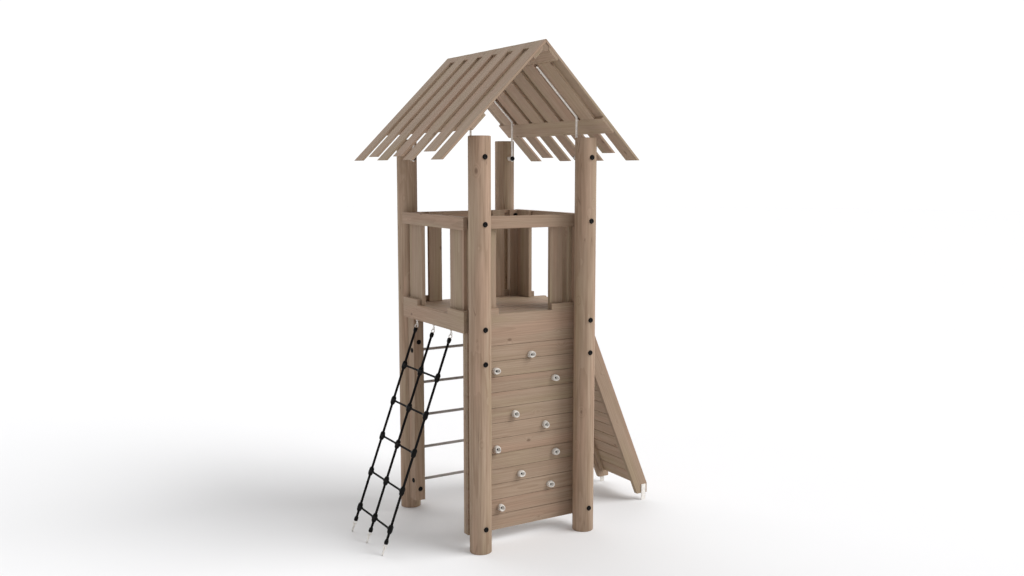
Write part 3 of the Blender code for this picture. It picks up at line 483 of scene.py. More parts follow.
def lumber(bm, grain, number, key="board", pith=None):
    """One board or post, marked with its grain direction, pith line and own number."""
    made = as_object("board", bm)
    draw = random.Random(number)
    mark(made.data, "grain", Vector(grain).normalized())
    mark(made.data, "pith", middle_of(made) + off_centre(grain, draw) if pith is None else Vector(pith))
    mark(made.data, "seed", draw.random())
    made.data.materials.append(material(key))
    return made


def plain(bm, key):
    """One piece that isn't wood."""
    made = as_object("piece", bm)
    made.data.materials.append(material(key))
    return made


def new_group(name, sockets):
    """A Geometry Nodes group with its named inputs and one output, and the piece that it repeats."""
    tree = bpy.data.node_groups.new(name, "GeometryNodeTree")
    tree.interface.new_socket("Geometry", in_out="INPUT", socket_type="NodeSocketGeometry")
    for label, kind in (("Piece", "Object"), *sockets, ("Seed", "Int"), ("Material", "Material")):
        tree.interface.new_socket(label, in_out="INPUT", socket_type="NodeSocket" + kind)
    tree.interface.new_socket("Geometry", in_out="OUTPUT", socket_type="NodeSocketGeometry")
    add = partial(put, tree)
    given = add("NodeGroupInput").outputs
    piece = add("GeometryNodeObjectInfo", {"Object": given["Piece"]}, transform_space="RELATIVE")
    return tree, add, given, piece.outputs["Geometry"]


def end_group(tree, copies, given):
    """Ends a group: its copies made real, in the given material."""
    add = partial(put, tree)
    real = add("GeometryNodeRealizeInstances", {"Geometry": copies})
    painted = add("GeometryNodeSetMaterial", {"Geometry": real, "Material": given["Material"]})
    add("NodeGroupOutput", {0: painted})
    return tree


def row_group():
    """Equal boards or fittings, a fixed step apart, each with its own seed and pith line."""
    name = "Row of equal pieces"
    if name in bpy.data.node_groups:
        return bpy.data.node_groups[name]
    sockets = (("Count", "Int"), ("Step", "Vector"), ("Pith", "Vector"), ("Spread", "Vector"))
    tree, add, given, piece = new_group(name, sockets)
    inputs = {"Count": given["Count"], "Offset": given["Step"]}
    line = add("GeometryNodeMeshLine", inputs, mode="OFFSET")
    copies = add("GeometryNodeInstanceOnPoints", {"Points": line, "Instance": piece})
    drawn = {"ID": add("GeometryNodeInputIndex"), "Seed": given["Seed"]}
    own = add("FunctionNodeRandomValue", drawn, data_type="FLOAT").outputs["Value"]
    low = add("VectorMath SCALE", {0: given["Spread"], "Scale": -1.0})
    drawn.update({"Min": low, "Max": given["Spread"]})
    sway = add("FunctionNodeRandomValue", drawn, data_type="FLOAT_VECTOR")
    spot = add("GeometryNodeInputPosition")
    centre = add("VectorMath ADD", {0: spot, 1: given["Pith"]})
    pith = add("VectorMath ADD", {0: centre, 1: sway})
    for label, value, kind in (("seed", own, "FLOAT"), ("pith", pith, "FLOAT_VECTOR")):
        inputs = {"Geometry": copies, "Name": label, "Value": value}
        copies = add("GeometryNodeStoreNamedAttribute", inputs, data_type=kind, domain="INSTANCE")
    return end_group(tree, copies, given)


def spots_group():
    """The same fitting at every marked point, with its axis along the point's own direction."""
    name = "Fittings on marked points"
    if name in bpy.data.node_groups:
        return bpy.data.node_groups[name]
    tree, add, given, piece = new_group(name, ())
    way = add("GeometryNodeInputNamedAttribute", {"Name": "facing"}, data_type="FLOAT_VECTOR")
    turn = add("FunctionNodeAlignRotationToVector", {"Vector": way}, axis="Z")
    number = add("GeometryNodeInputIndex")
    drawn = {"Min": 0.0, "Max": 2 * pi, "ID": number, "Seed": given["Seed"]}
    spin = add("FunctionNodeRandomValue", drawn, data_type="FLOAT").outputs["Value"]
    roll = add("CombineXYZ", {"Z": spin})
    rolled = add("FunctionNodeRotateRotation", {0: turn, 1: roll}, rotation_space="LOCAL")
    inputs = {"Points": given["Geometry"], "Instance": piece, "Rotation": rolled}
    return end_group(tree, add("GeometryNodeInstanceOnPoints", inputs), given)


def grown(host, tree, values):
    """Runs a node group on the host object once and keeps its result as a plain mesh."""
    step = host.modifiers.new("Pattern", "NODES")
    step.node_group = tree
    for item in tree.interface.items_tree:
        if item.item_type == "SOCKET" and item.in_out == "INPUT" and item.name in values:
            step[item.identifier] = values[item.name]
    bpy.context.view_layer.update()
    graph = bpy.context.evaluated_depsgraph_get()
    result = host.evaluated_get(graph)
    mesh = bpy.data.meshes.new_from_object(result, preserve_all_data_layers=True, depsgraph=graph)
    host.modifiers.remove(step)
    old = host.data
    host.data = mesh
    bpy.data.meshes.remove(old)
    mesh.shade_smooth()
    return host


def row(bm, count, step, key, grain=None, seed=1, spread=0.08):
    """A row of equal pieces, the first of them where its shape stands."""
    first = as_object("first", bm)
    away = Vector()
    if grain is not None:
        grain = Vector(grain).normalized()
        mark(first.data, "grain", grain)
        away = Vector([spread * (1 - abs(c)) for c in grain])
    host = as_object("row", bmesh.new())
    values = {"Piece": first, "Count": count, "Seed": seed, "Material": material(key)}
    values.update({"Step": tuple(step), "Pith": tuple(middle_of(first)), "Spread": tuple(away)})
    grown(host, row_group(), values)
    bpy.data.objects.remove(first)
    return host


def on_spots(profile, sides, places, key):
    """The same turned fitting at each (point, direction)."""
    first = as_object("first", lathe(profile, (0, 0, 0), UP, sides))
    dots = bmesh.new()
    for spot, way in places:
        dots.verts.new(spot)
    host = as_object("spots", dots)
    layer = host.data.attributes.new("facing", "FLOAT_VECTOR", "POINT")
    layer.data.foreach_set("vector", [c for spot, way in places for c in way])
    grown(host, spots_group(), {"Piece": first, "Seed": 1, "Material": material(key)})
    bpy.data.objects.remove(first)
    return host


def finish_piece(name, parts, nodes, edge=0.0):
    """Joins the parts into one piece, rounds its edges and puts it in place of the CAD nodes."""
    piece = parts[0]
    if len(parts) > 1:
        with bpy.context.temp_override(active_object=piece, selected_editable_objects=parts):
            bpy.ops.object.join()
    piece.name = name
    piece.data.name = name
    if not piece.data.polygons:
        raise RuntimeError(name + " has no faces")
    if edge:
        rounding = piece.modifiers.new("Edges", "BEVEL")
        rounding.width = edge
        rounding.segments = 2
        rounding.limit_method = "ANGLE"
        rounding.angle_limit = radians(35)
        rounding.harden_normals = True
    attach(piece, "root")
    if nodes:
        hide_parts(*nodes)
    return piece


def finish_board(name, parts, edge):
    """Finishes one pine piece that stands for the node of its own name."""
    return finish_piece("pine_" + name, parts, [name], edge)


def named(start):
    """The frame's nodes whose names start so, in order."""
    return sorted(name for name in BOX if name.startswith(start))


def centred(x, width):
    """Both ends of a width round its middle."""
    return x - width / 2, x + width / 2


def inner_y(name, sy):
    """The Y of a node's face that looks into the tower."""
    lo, hi = BOX[name]
    return hi.y if sy < 0 else lo.y


def corners():
    """Name, X of the post's axis, and X and Y sign of the four corners."""
    for side, sx in (("left", -1), ("right", 1)):
        for face, sy in (("front", -1), ("back", 1)):
            lo, hi = BOX["post_" + side + "_" + face]
            yield side + "_" + face, (lo.x + hi.x) / 2, sx, sy


def post_radius():
    """The radius of the round posts."""
    lo, hi = BOX["post_left_front"]
    return (hi.x - lo.x) / 2


def post_axis_y():
    """The Y of the back posts' axes; the front ones mirror it."""
    return BOX["post_left_back"][0].y + post_radius()


def post_back(sy):
    """The Y of the posts' inner side, with the frame's clearance."""
    return sy * (post_axis_y() - post_radius() - CLEARANCE)


def board_face(sy):
    """The outer and inner Y of the front or back boards."""
    lo, hi = BOX["top_rail_front" if sy < 0 else "top_rail_back"]
    return (lo.y, hi.y) if sy < 0 else (hi.y, lo.y)


class TOWER_OT_posts(bpy.types.Operator):
    """Build the four round posts"""

    bl_idname = "tower.posts"
    bl_label = "Posts"

    def execute(self, context):
        sizes = context.scene.tower_sizes
        radius = post_radius()
        soft = sizes.post_rounding
        for number, (corner, x, sx, sy) in enumerate(corners()):
            y = sy * post_axis_y()
            top = BOX["post_" + corner][1].z
            profile = [(0, radius - soft / 2), (soft / 2, radius)]
            profile += [(top * i / 8, radius) for i in range(1, 8)]
            profile += [(top - soft, radius), (top - soft * 0.3, radius - soft * 0.3), (top, radius - soft)]
            bm = lathe(profile, (x, y, 0), UP, 48)
            part = lumber(bm, UP, 11 + number, "post", (x + 0.006 * sx, y + 0.004 * sy, 0))
            part.data.set_sharp_from_angle(angle=radians(50))
            finish_piece("pine_post_" + corner, [part], ["post_" + corner])
        return {"FINISHED"}


def cap_places():
    """Where the bolts' black caps sit, and which way each looks."""
    y_out = post_axis_y() + post_radius()
    rail = BOX["top_rail_front"]
    rail_z = (rail[0].z + rail[1].z) / 2
    top = BOX["post_left_front"][1].z
    wall_top = BOX["fascia_front"][0].z
    deck_top = BOX["deck"][1].z
    roof_z = top - ROOF_BOLT_UNDER_POST_TOP
    low_z = BOX["climbing_wall"][0].z + LOWER_BOLT_OVER_WALL_BOTTOM
    upper_z = wall_top - UPPER_BOLT_UNDER_WALL_TOP
    heights = (roof_z, rail_z, deck_top - DECK_BOLT_UNDER_DECK, upper_z, low_z)
    cap_height = bpy.context.scene.tower_sizes.cap_height
    for corner, x, sx, sy in corners():
        for z in heights:
            yield Vector((x, sy * y_out, z)), Vector((0, sy, 0))
        back = "climbing_wall" if sy < 0 else "ladder_stile_" + ("left" if sx < 0 else "right")
        fixed = (("upper_stile_" + corner, rail_z), ("roof_arm_" + corner, roof_z))
        for name, z in (*fixed, (back, upper_z), (back, low_z)):
            yield Vector((x, inner_y(name, sy) + sy * cap_height, z)), Vector((0, -sy, 0))
    for name in ("rung_1", "rung_5"):
        lo, hi = BOX[name]
        for side, sx in (("left", -1), ("right", 1)):
            stile = BOX["ladder_stile_" + side]
            x = stile[0].x if sx < 0 else stile[1].x
            yield Vector((x, (lo.y + hi.y) / 2, (lo.z + hi.z) / 2)), Vector((sx, 0, 0))


class TOWER_OT_caps(bpy.types.Operator):
    """Put the black caps on the bolts"""

    bl_idname = "tower.caps"
    bl_label = "Bolt caps"

    def execute(self, context):
        sizes = context.scene.tower_sizes
        r = sizes.cap_diameter / 2
        h = sizes.cap_height
        profile = [(-0.004, r * 0.9), (0, r), (h * 0.35, r), (h * 0.72, r * 0.93), (h * 0.95, r * 0.76)]
        profile += [(h, r * 0.62), (h * 0.96, r * 0.52), (h * 0.72, r * 0.46), (h * 0.70, r * 0.02)]
        caps = on_spots(profile, 24, list(cap_places()), "cap")
        finish_piece("bolt_caps", [caps], [])
        return {"FINISHED"}


def upper_stile(corner, x, sy, number):
    """One upper stile with the packing pieces that hold it off its post."""
    sizes = bpy.context.scene.tower_sizes
    name = "upper_stile_" + corner
    lo, hi = BOX[name]
    back = inner_y(name, sy) + sy * sizes.cap_height
    face = back + sy * sizes.stile_thickness
    joint = BOX["fascia_front" if sy < 0 else "fascia_back"][1].z + CLEARANCE
    packing = centred(x, sizes.packing_width)
    shapes = (
        block((lo.x, hi.x), (face, back), (BOX["deck"][0].z, hi.z)),
        block(packing, (post_back(sy), board_face(sy)[0] + sy * CLEARANCE), (lo.z, joint)),
        block(packing, (post_back(sy), face - sy * 0.001), (joint, hi.z - PACKING_SHORT)),
    )
    return [lumber(shape, UP, number + i) for i, shape in enumerate(shapes)]


def fascia(name, axis, notch, number):
    """One notched board round the platform."""
    lo, hi = BOX[name]
    thin = "XY".index(axis)
    left, right = lo[1 - thin], hi[1 - thin]
    middle = (left + right) / 2
    low = hi.z - bpy.context.scene.tower_sizes.notch_depth
    outline = [(left, lo.z), (right, lo.z), (right, hi.z)]
    outline += [(middle + notch / 2, hi.z), (middle + notch / 2, low)]
    outline += [(middle - notch / 2, low), (middle - notch / 2, hi.z), (left, hi.z)]
    return lumber(prism(outline, lo[thin], hi[thin], axis), ALONG_X if axis == "Y" else ALONG_Y, number)


class TOWER_OT_railing(bpy.types.Operator):
    """Build the upper stiles, the rails, the balusters and the fascias round the platform"""

    bl_idname = "tower.railing"
    bl_label = "Railing"

    def execute(self, context):
        sizes = context.scene.tower_sizes
        edge = sizes.board_edge
        for number, (corner, x, _, sy) in enumerate(corners()):
            parts = upper_stile(corner, x, sy, 31 + 3 * number)
            finish_board("upper_stile_" + corner, parts, edge)
        for number, face in enumerate(("front", "back", "left", "right")):
            across = face in ("front", "back")
            name = "top_rail_" + face
            part = lumber(whole(name), ALONG_X if across else ALONG_Y, 51 + number)
            finish_board(name, [part], edge)
            notch = sizes.front_notch if across else sizes.side_notch
            part = fascia("fascia_" + face, "Y" if across else "X", notch, 61 + number)
            finish_board("fascia_" + face, [part], edge)
        for number, name in enumerate(named("baluster_")):
            finish_board(name, [lumber(whole(name), UP, 71 + number)], edge)
        return {"FINISHED"}


class TOWER_OT_deck(bpy.types.Operator):
    """Build the deck boards and their ledgers"""

    bl_idname = "tower.deck"
    bl_label = "Deck"

    def execute(self, context):
        sizes = context.scene.tower_sizes
        lo, hi = BOX["deck"]
        boards = 6
        pitch = (hi.y - lo.y + sizes.deck_gap) / boards
        low = hi.z - sizes.deck_thickness
        stile_x0 = BOX["upper_stile_left_front"][1].x + CLEARANCE
        stile_x1 = BOX["upper_stile_right_front"][0].x - CLEARANCE
        stile_y = BOX["upper_stile_left_back"][0].y + sizes.cap_height - CLEARANCE
        width = pitch - sizes.deck_gap
        first = block((lo.x, hi.x), (lo.y + pitch, lo.y + pitch + width), (low, hi.z))
        parts = [row(first, boards - 2, (0, pitch, 0), "deck", ALONG_X, 5)]
        for sy in (-1, 1):
            y0 = lo.y if sy < 0 else hi.y
            y1 = y0 - sy * width
            edge_y = sy * stile_y
            outline = [(stile_x0, y0), (stile_x1, y0), (stile_x1, edge_y), (hi.x, edge_y)]
            outline += [(hi.x, y1), (lo.x, y1), (lo.x, edge_y), (stile_x0, edge_y)]
            parts.append(lumber(prism(outline, low, hi.z, "Z"), ALONG_X, 91 + sy, "deck"))
        for sx, x in ((-1, lo.x), (1, hi.x)):
            ledger = block((x, x - sx * sizes.ledger_thickness), (-stile_y, stile_y), (lo.z, low))
            parts.append(lumber(ledger, ALONG_Y, 95 + sx))
        finish_piece("pine_deck_boards", parts, ["deck"], sizes.board_edge)
        return {"FINISHED"}


class TOWER_OT_wall(bpy.types.Operator):
    """Build the climbing wall's boards, battens and packing"""

    bl_idname = "tower.wall"
    bl_label = "Climbing wall"

    def execute(self, context):
        sizes = context.scene.tower_sizes
        face, back = board_face(-1)
        lo, hi = BOX["fascia_front"]
        top = lo.z - CLEARANCE
        pitch = (top - sizes.wall_bottom) / sizes.wall_boards
        z0 = sizes.wall_bottom + sizes.wall_gap / 2
        first = block((lo.x, hi.x), (face, back), (z0, z0 + pitch - sizes.wall_gap))
        parts = [row(first, sizes.wall_boards, (0, 0, pitch), "board", ALONG_X, 8)]
        wall_hi = BOX["climbing_wall"][1]
        for number, (_, x, _, sy) in enumerate(corners()):
            if sy < 0:
                batten = centred(x, sizes.batten_width)
                ys = (back + CLEARANCE, wall_hi.y - sizes.cap_height)
                parts.append(lumber(block(batten, ys, (sizes.wall_bottom, wall_hi.z)), UP, 101 + number))
                packing = centred(x, sizes.packing_width)
                zs = (sizes.wall_bottom, top - PACKING_SHORT)
                parts.append(lumber(block(packing, (post_back(-1), face - CLEARANCE), zs), UP, 105 + number))
        finish_board("climbing_wall", parts, sizes.slat_edge)
        return {"FINISHED"}


def hold_shape(lo, hi, face, number):
    """A cast hold: an uneven ring-shaped knob with a sunk hole for its bolt."""
    draw = random.Random(200 + number)
    centre = Vector(((lo.x + hi.x) / 2, face, (lo.z + hi.z) / 2))
    uneven = 0.05
    half_x = (hi.x - lo.x) / 2 / (1 + uneven)
    half_z = (hi.z - lo.z) / 2 / (1 + uneven)
    depth = face - lo.y
    lean = draw.uniform(0.10, 0.22)
    turn_off = draw.uniform(0, 2 * pi)
    profile = [(1.0, 0.0), (1.0, 0.34), (0.97, 0.58), (0.91, 0.80), (0.82, 0.95), (0.72, 1.0)]
    profile += [(0.64, 0.96), (0.58, 0.82), (0.53, 0.62), (0.48, 0.44), (0.40, 0.34)]
    profile += [(0.26, 0.32), (0.01, 0.32)]
    sides = 28
    rows = []
    for across, out in profile:
        cells = []
        for j in range(sides):
            turn = 2 * pi * j / sides
            swell = 1 + uneven * sin(2 * turn + number) * min(1, across * 2)
            # The rim is higher on its lower side, where fingers pull
            raised = out * (1 - lean * (0.5 + 0.5 * sin(turn)) * (1 if out > 0.45 else 0))
            dimple = 0.03 * sin(3 * turn + turn_off) * out
            x = half_x * across * swell * cos(turn)
            z = half_z * across * swell * sin(turn)
            cells.append(centre + Vector((x, -depth * min(1.0, max(0.0, raised + dimple)), z)))
        rows.append(cells)
    return skin(rows)


class TOWER_OT_holds(bpy.types.Operator):
    """Cast the climbing holds and put in their bolts"""

    bl_idname = "tower.holds"
    bl_label = "Climbing holds"

    def execute(self, context):
        face = board_face(-1)[0] - CLEARANCE
        bolts = []
        for number, name in enumerate(named("hold_")):
            lo, hi = BOX[name]
            part = plain(hold_shape(lo, hi, face, number), "hold")
            finish_piece("resin_" + name, [part], [name])
            bolts.append((Vector(((lo.x + hi.x) / 2, face - 0.011, (lo.z + hi.z) / 2)), Vector((0, -1, 0))))
        # The bolts' heads are black plastic: painted shade, standing for the dark shade in the holds' sunk
        # bolt holes
        head = [(-0.004, 0.0056), (0.002, 0.0056), (0.004, 0.0050)]
        head += [(0.0045, 0.0036), (0.0030, 0.0030), (0.0020, 0.0002)]
        part = on_spots(head, 18, bolts, "cap")
        finish_piece("hold_bolt_caps", [part], [])
        return {"FINISHED"}


class TOWER_OT_ladder(bpy.types.Operator):
    """Build the ladder's stiles and rungs"""

    bl_idname = "tower.ladder"
    bl_label = "Ladder"

    def execute(self, context):
        sizes = context.scene.tower_sizes
        for number, side in enumerate(("left", "right")):
            name = "ladder_stile_" + side
            lo, hi = BOX[name]
            stile = block((lo.x, hi.x), (lo.y + sizes.cap_height, hi.y), (lo.z, hi.z))
            finish_board(name, [lumber(stile, UP, 121 + number)], sizes.board_edge)
        lo, hi = BOX["rung_1"]
        second = BOX["rung_2"][0]
        r = sizes.rung_diameter / 2
        reach = hi.x - lo.x
        profile = [(0, r * 0.9), (0.001, r)] + [(reach * i / 6, r) for i in range(1, 6)]
        profile += [(reach - 0.001, r), (reach, r * 0.9)]
        bar = lathe(profile, (lo.x, (lo.y + hi.y) / 2, (lo.z + hi.z) / 2), ALONG_X, 24)
        rungs = row(bar, len(named("rung_")), (0, 0, second.z - lo.z), "rung")
        finish_piece("steel_rungs", [rungs], named("rung_"))
        return {"FINISHED"}


# The ramp's slope and boards, the same as in the CAD
RAMP_ANGLE = radians(67.1)
RAMP_JOINT_UNDER_FASCIA = 0.075
RAMP_BOARDS_BOTTOM = 0.106
RAMP_BOARD_WIDTH = 0.095
RAMP_BOARD_GAP = 0.0025
RAMP_FOOT_EDGE = 0.0012


class TOWER_OT_ramp(bpy.types.Operator):
    """Build the ramp: stringers, cross boards on cleats, and steel feet"""

    bl_idname = "tower.ramp"
    bl_label = "Ramp"

    def execute(self, context):
        sizes = context.scene.tower_sizes
        lean, rise, slope = cos(RAMP_ANGLE), sin(RAMP_ANGLE), tan(RAMP_ANGLE)
        up = Vector((-lean, 0, rise))
        deep = Vector((-rise, 0, -lean))
        width = sizes.stringer_width / rise
        joint_z = BOX["fascia_right"][1].z - RAMP_JOINT_UNDER_FASCIA
        lo, hi = BOX["ramp_stringer_front"]
        top_z = hi.z
        top_x = lo.x + (joint_z - top_z) / slope + width

        def edge_x(z):
            return top_x + (top_z - z) / slope

        for number, face in enumerate(("front", "back")):
            name = "ramp_stringer_" + face
            lo, hi = BOX[name]
            toe_z = hi.z - (hi.x - edge_x(hi.z)) * slope
            outline = [(lo.x, joint_z), (lo.x, hi.z), (edge_x(hi.z), hi.z)]
            outline += [(hi.x, toe_z), (hi.x, lo.z), (edge_x(lo.z) - width, lo.z)]
            part = lumber(prism(outline, lo.y, hi.y), up, 131 + number)
            finish_board(name, [part], sizes.board_edge)
            name = "ramp_foot_" + face
            plate = plain(whole(name), "zinc")
            finish_piece("steel_" + name, [plate], [name], RAMP_FOOT_EDGE)

        lo, hi = BOX["ramp_boards"]
        base = Vector((edge_x(0), 0, 0))
        low_depth = sizes.ramp_recess + sizes.ramp_thickness
        first = (RAMP_BOARDS_BOTTOM - deep.z * low_depth) / up.z
        landing_z = hi.z - sizes.ramp_thickness
        last = (landing_z - deep.z * sizes.ramp_recess) / up.z

        def slab(a0, a1, d0, d1, y0, y1):
            corners_2d = [base + up * a + deep * d for a, d in ((a0, d0), (a1, d0), (a1, d1), (a0, d1))]
            return prism([(p.x, p.z) for p in corners_2d], y0, y1)

        count = int((last - first) / (RAMP_BOARD_WIDTH + RAMP_BOARD_GAP))
        pitch = (last - first) / count
        board = slab(first, first + pitch - RAMP_BOARD_GAP, sizes.ramp_recess, low_depth, lo.y, hi.y)
        # The ramp boards and cleats, seen from below, take the lighter pine: painted light on their
        # undersides
        parts = [row(board, count, up * pitch, "sheltered", ALONG_Y, 14)]
        for number, y in enumerate((lo.y, hi.y - sizes.cleat_size)):
            cleat = slab(first, last, low_depth, low_depth + sizes.cleat_size, y, y + sizes.cleat_size)
            parts.append(lumber(cleat, up, 141 + number, "sheltered"))
        landing_end = edge_x(hi.z) - sizes.ramp_recess / rise
        landing = block((lo.x, landing_end), (lo.y, hi.y), (landing_z, hi.z))
        parts.append(lumber(landing, ALONG_Y, 145))
        finish_board("ramp_boards", parts, sizes.board_edge)
        return {"FINISHED"}


# How far down the slopes the eave boards start and end, the same as in the CAD
EAVE_BOARD = (0.630, 0.757)


def roof_frame():
    """The ridge's X and Z and the roof's half length."""
    left = BOX["roof_slope_left"]
    right = BOX["roof_slope_right"]
    ridge_x = (left[1].x + right[0].x) / 2
    return ridge_x, left[1].z + CLEARANCE / 2, left[1].y


def roof_point(side, along, depth):
    """A point of a slope at 45 degrees, from the ridge along it and in from its outer face."""
    ridge_x, ridge_z = roof_frame()[:2]
    even = sqrt(0.5)
    return ridge_x + side * (along - depth) * even, ridge_z - (along + depth) * even


class TOWER_OT_roof(bpy.types.Operator):
    """Build the roof's slats, inner boards, eave boards and ridge beam"""

    bl_idname = "tower.roof"
    bl_label = "Roof"

    def execute(self, context):
        sizes = context.scene.tower_sizes
        ridge_x, ridge_z, reach = roof_frame()
        slats = 7
        width = sizes.slat_width
        gap = (2 * reach - slats * width) / (slats - 1)
        pitch = width + gap
        layers = sizes.slat_thickness + sizes.inner_thickness
        under = sizes.slat_thickness * sqrt(2)
        eave = BOX["roof_slope_left"][0].z
        tight = CLEARANCE / 2
        # How far the long boards stay inside the slats' outline
        set_in = 0.001
        beam_lo, beam_hi = BOX["ridge_beam"]
        start = ((beam_hi.x - beam_lo.x) / 2 + CLEARANCE) * sqrt(2) + layers
        for number, (name, side) in enumerate((("left", -1), ("right", 1))):
            parts = []
            # Long slats at every second place, the second slat from the front cut highest
            for count, place, rise, seed in ((4, 0, 0.0, 21), (1, 1, 0.050, 22), (2, 3, 0.024, 23)):
                low = eave + rise
                outline = [(ridge_x + side * tight, ridge_z - tight)]
                outline += [(ridge_x + side * (ridge_z - low - d), low) for d in (0, under)]
                outline += [(ridge_x + side * tight, ridge_z - tight - under)]
                y0 = -reach + place * pitch
                slat = prism(outline, y0, y0 + width)
                slope = (side, 0, -1)
                parts.append(row(slat, count, (0, 2 * pitch, 0), "roof", slope, seed + 10 * number, 0.06))

            def slab(a0, a1, d0, d1):
                return [roof_point(side, a, d) for a, d in ((a0, d0), (a1, d0), (a1, d1), (a0, d1))]

            outline = slab(sizes.ridge_board, EAVE_BOARD[0], sizes.slat_thickness, layers)
            y0 = -reach + width + gap / 2 - sizes.inner_width / 2
            inner = prism(outline, y0, y0 + sizes.inner_width)
            # The inner boards take the lighter pine: painted light on their undersides
            parts.append(row(inner, slats - 1, (0, pitch, 0), "sheltered", (side, 0, -1), 27 + number, 0.06))
            # The ridge boards' upper ends are cut upright, against the beam
            ridge_board = slab(start, sizes.ridge_board, sizes.slat_thickness, layers)
            ridge_board[0] = roof_point(side, start - sizes.inner_thickness, sizes.slat_thickness)
            boards = (
                slab(*EAVE_BOARD, sizes.slat_thickness, layers),
                ridge_board,
                slab(tight, sizes.ridge_strip, set_in, sizes.slat_thickness - set_in / 2),
            )
            for place, outline in enumerate(boards):
                long_board = prism(outline, -reach + set_in, reach - set_in)
                # The eave and ridge boards take the lighter pine: painted light on their undersides
                key = "roof" if place == 2 else "sheltered"
                parts.append(lumber(long_board, ALONG_Y, 151 + 3 * number + place, key))
            finish_piece("pine_roof_" + name, parts, ["roof_slope_" + name], sizes.slat_edge)
        # Little of the beam shows under the boards
        half = (beam_hi.x - beam_lo.x) / 2
        beam_bottom = ridge_z - layers * sqrt(2) - half - sizes.beam_show
        outline = [(ridge_x, beam_hi.z), (ridge_x + half, beam_hi.z - half), (ridge_x + half, beam_bottom)]
        outline += [(ridge_x - half, beam_bottom), (ridge_x - half, beam_hi.z - half)]
        beam = lumber(prism(outline, beam_lo.y, beam_hi.y), ALONG_Y, 161, "roof")
        finish_piece("pine_ridge_beam", [beam], ["ridge_beam"], sizes.slat_edge)
        return {"FINISHED"}


ARM_BEND_RADIUS = 0.016
# Where the screws sit, down the arms' slopes from their upper ends
ARM_SCREWS = (0.05, 0.46)


class TOWER_OT_arms(bpy.types.Operator):
    """Bend the steel arms that carry the roof"""

    bl_idname = "tower.arms"
    bl_label = "Roof arms"

    def execute(self, context):
        sizes = context.scene.tower_sizes
        ridge_x = roof_frame()[0]
        radius = sizes.arm_diameter / 2
        screws = []
        for corner, x, sx, sy in corners():
            name = "roof_arm_" + corner
            lo, hi = BOX[name]
            y = inner_y(name, sy) + sy * (sizes.cap_height + radius)
            top_x = hi.x if sx < 0 else lo.x
            top = Vector((ridge_x + sx * (abs(top_x - ridge_x) + radius * 0.7), y, hi.z - radius * 0.7))
            slope = Vector((sx, 0, -1)).normalized()
            meet_z = top.z - abs(x - top.x)
            turn = radians(45)
            back = ARM_BEND_RADIUS * tan(turn / 2)
            path = [Vector((x, y, lo.z)), Vector((x, y, lo.z + 0.08)), Vector((x, y, meet_z - back))]
            centre = Vector((x - sx * ARM_BEND_RADIUS, y, meet_z - back))
            for i in range(1, 9):
                step = turn * i / 8
                path.append(centre + Vector((sx * cos(step), 0, sin(step))) * ARM_BEND_RADIUS)
            path += [top + slope * 0.2, top]
            bolt_z = BOX["post_" + corner][1].z - ROOF_BOLT_UNDER_POST_TOP
            y0 = post_back(sy)
            round_off = sizes.spacer_diameter / 2
            spacer = [(0, round_off - 0.001), (0.001, round_off), (abs(y0 - y), round_off)]
            parts = [
                plain(tube(path, radius, 20), "zinc"),
                plain(lathe(spacer, (x, y0, bolt_z), (0, -sy, 0), 20), "zinc"),
            ]
            for part in parts:
                part.data.set_sharp_from_angle(angle=radians(40))
            finish_piece("steel_arm_" + corner, parts, [name])
            inward = Vector((-sx, 0, -1)).normalized()
            for step in ARM_SCREWS:
                screws.append((top + slope * step + inward * (radius - 0.001), inward))
        head = [(-0.002, 0.0055), (0.001, 0.0055), (0.0028, 0.0042), (0.0034, 0.0020), (0.0030, 0.0002)]
        part = on_spots(head, 16, screws, "zinc")
        finish_piece("steel_arm_screws", [part], [])
        return {"FINISHED"}


# The net's lines, eye bolts and links, the same as in the CAD
NET_TOP_OUT = 0.010
NET_REACH = 0.510
NET_ROWS = 5
NET_ROW_PITCH = 0.2485
NET_FIRST_ROW_UNDER_FASCIA = 0.3004
ANCHOR_EYE_HEIGHT = 0.045
EYE_RADIUS = 0.010
EYE_WIRE = 0.006
EYE_DROP = 0.024
LINK_RADIUS = 0.011
LINK_WIRE = 0.006

# The ropes: crests of the strands over the mean radius, length in a ferrule, steps along a rope
STRAND_CREST = 1.06
ROPE_IN_FERRULE = 0.004
ROPE_STEP = 0.005
CROSS_ROPE_STEPS = 60


def net_frame():
    """Top of the middle rope, the way down, the ropes' Y places and the distance to the lower eyes."""
    lo, hi = BOX["fascia_left"]
    middle_x = (lo.x + hi.x) / 2
    top = Vector((middle_x - NET_TOP_OUT, 0, lo.z - EYE_DROP))
    way = Vector((middle_x - NET_REACH, 0, 0)) - top
    down = way.normalized()
    lines = [(BOX[name][0].y + BOX[name][1].y) / 2 for name in named("ground_anchor_")]
    return top, down, lines, way.length - ANCHOR_EYE_HEIGHT / -down.z


def connector(spot, down, left, right):
    """A moulded connector: a waisted body round the long rope, and a socket for each cross rope."""
    body = [(-0.028, 0.0095), (-0.027, 0.0125), (-0.021, 0.0135)]
    body += [(-0.020, 0.0155), (-0.012, 0.0158), (0, 0.0165)]
    body += [(-d, r) for d, r in reversed(body[:-1])]
    bm = lathe(body, spot, down, 20)
    socket = [(0.002, 0.0155), (0.012, 0.0150), (0.020, 0.0128)]
    socket += [(0.026, 0.0112), (0.030, 0.0102), (0.0305, 0.0080)]
    for y, wanted in ((-1, left), (1, right)):
        if wanted:
            lathe(socket, spot, (0, y, 0), 18, bm)
    screw = [(0.012, 0.0045), (0.0168, 0.0045), (0.0176, 0.0036), (0.0170, 0.0020), (0.0165, 0.0002)]
    for end in (-0.012, 0.012):
        lathe(screw, spot + down * end, down.cross(ALONG_Y), 12, bm)
    return bm


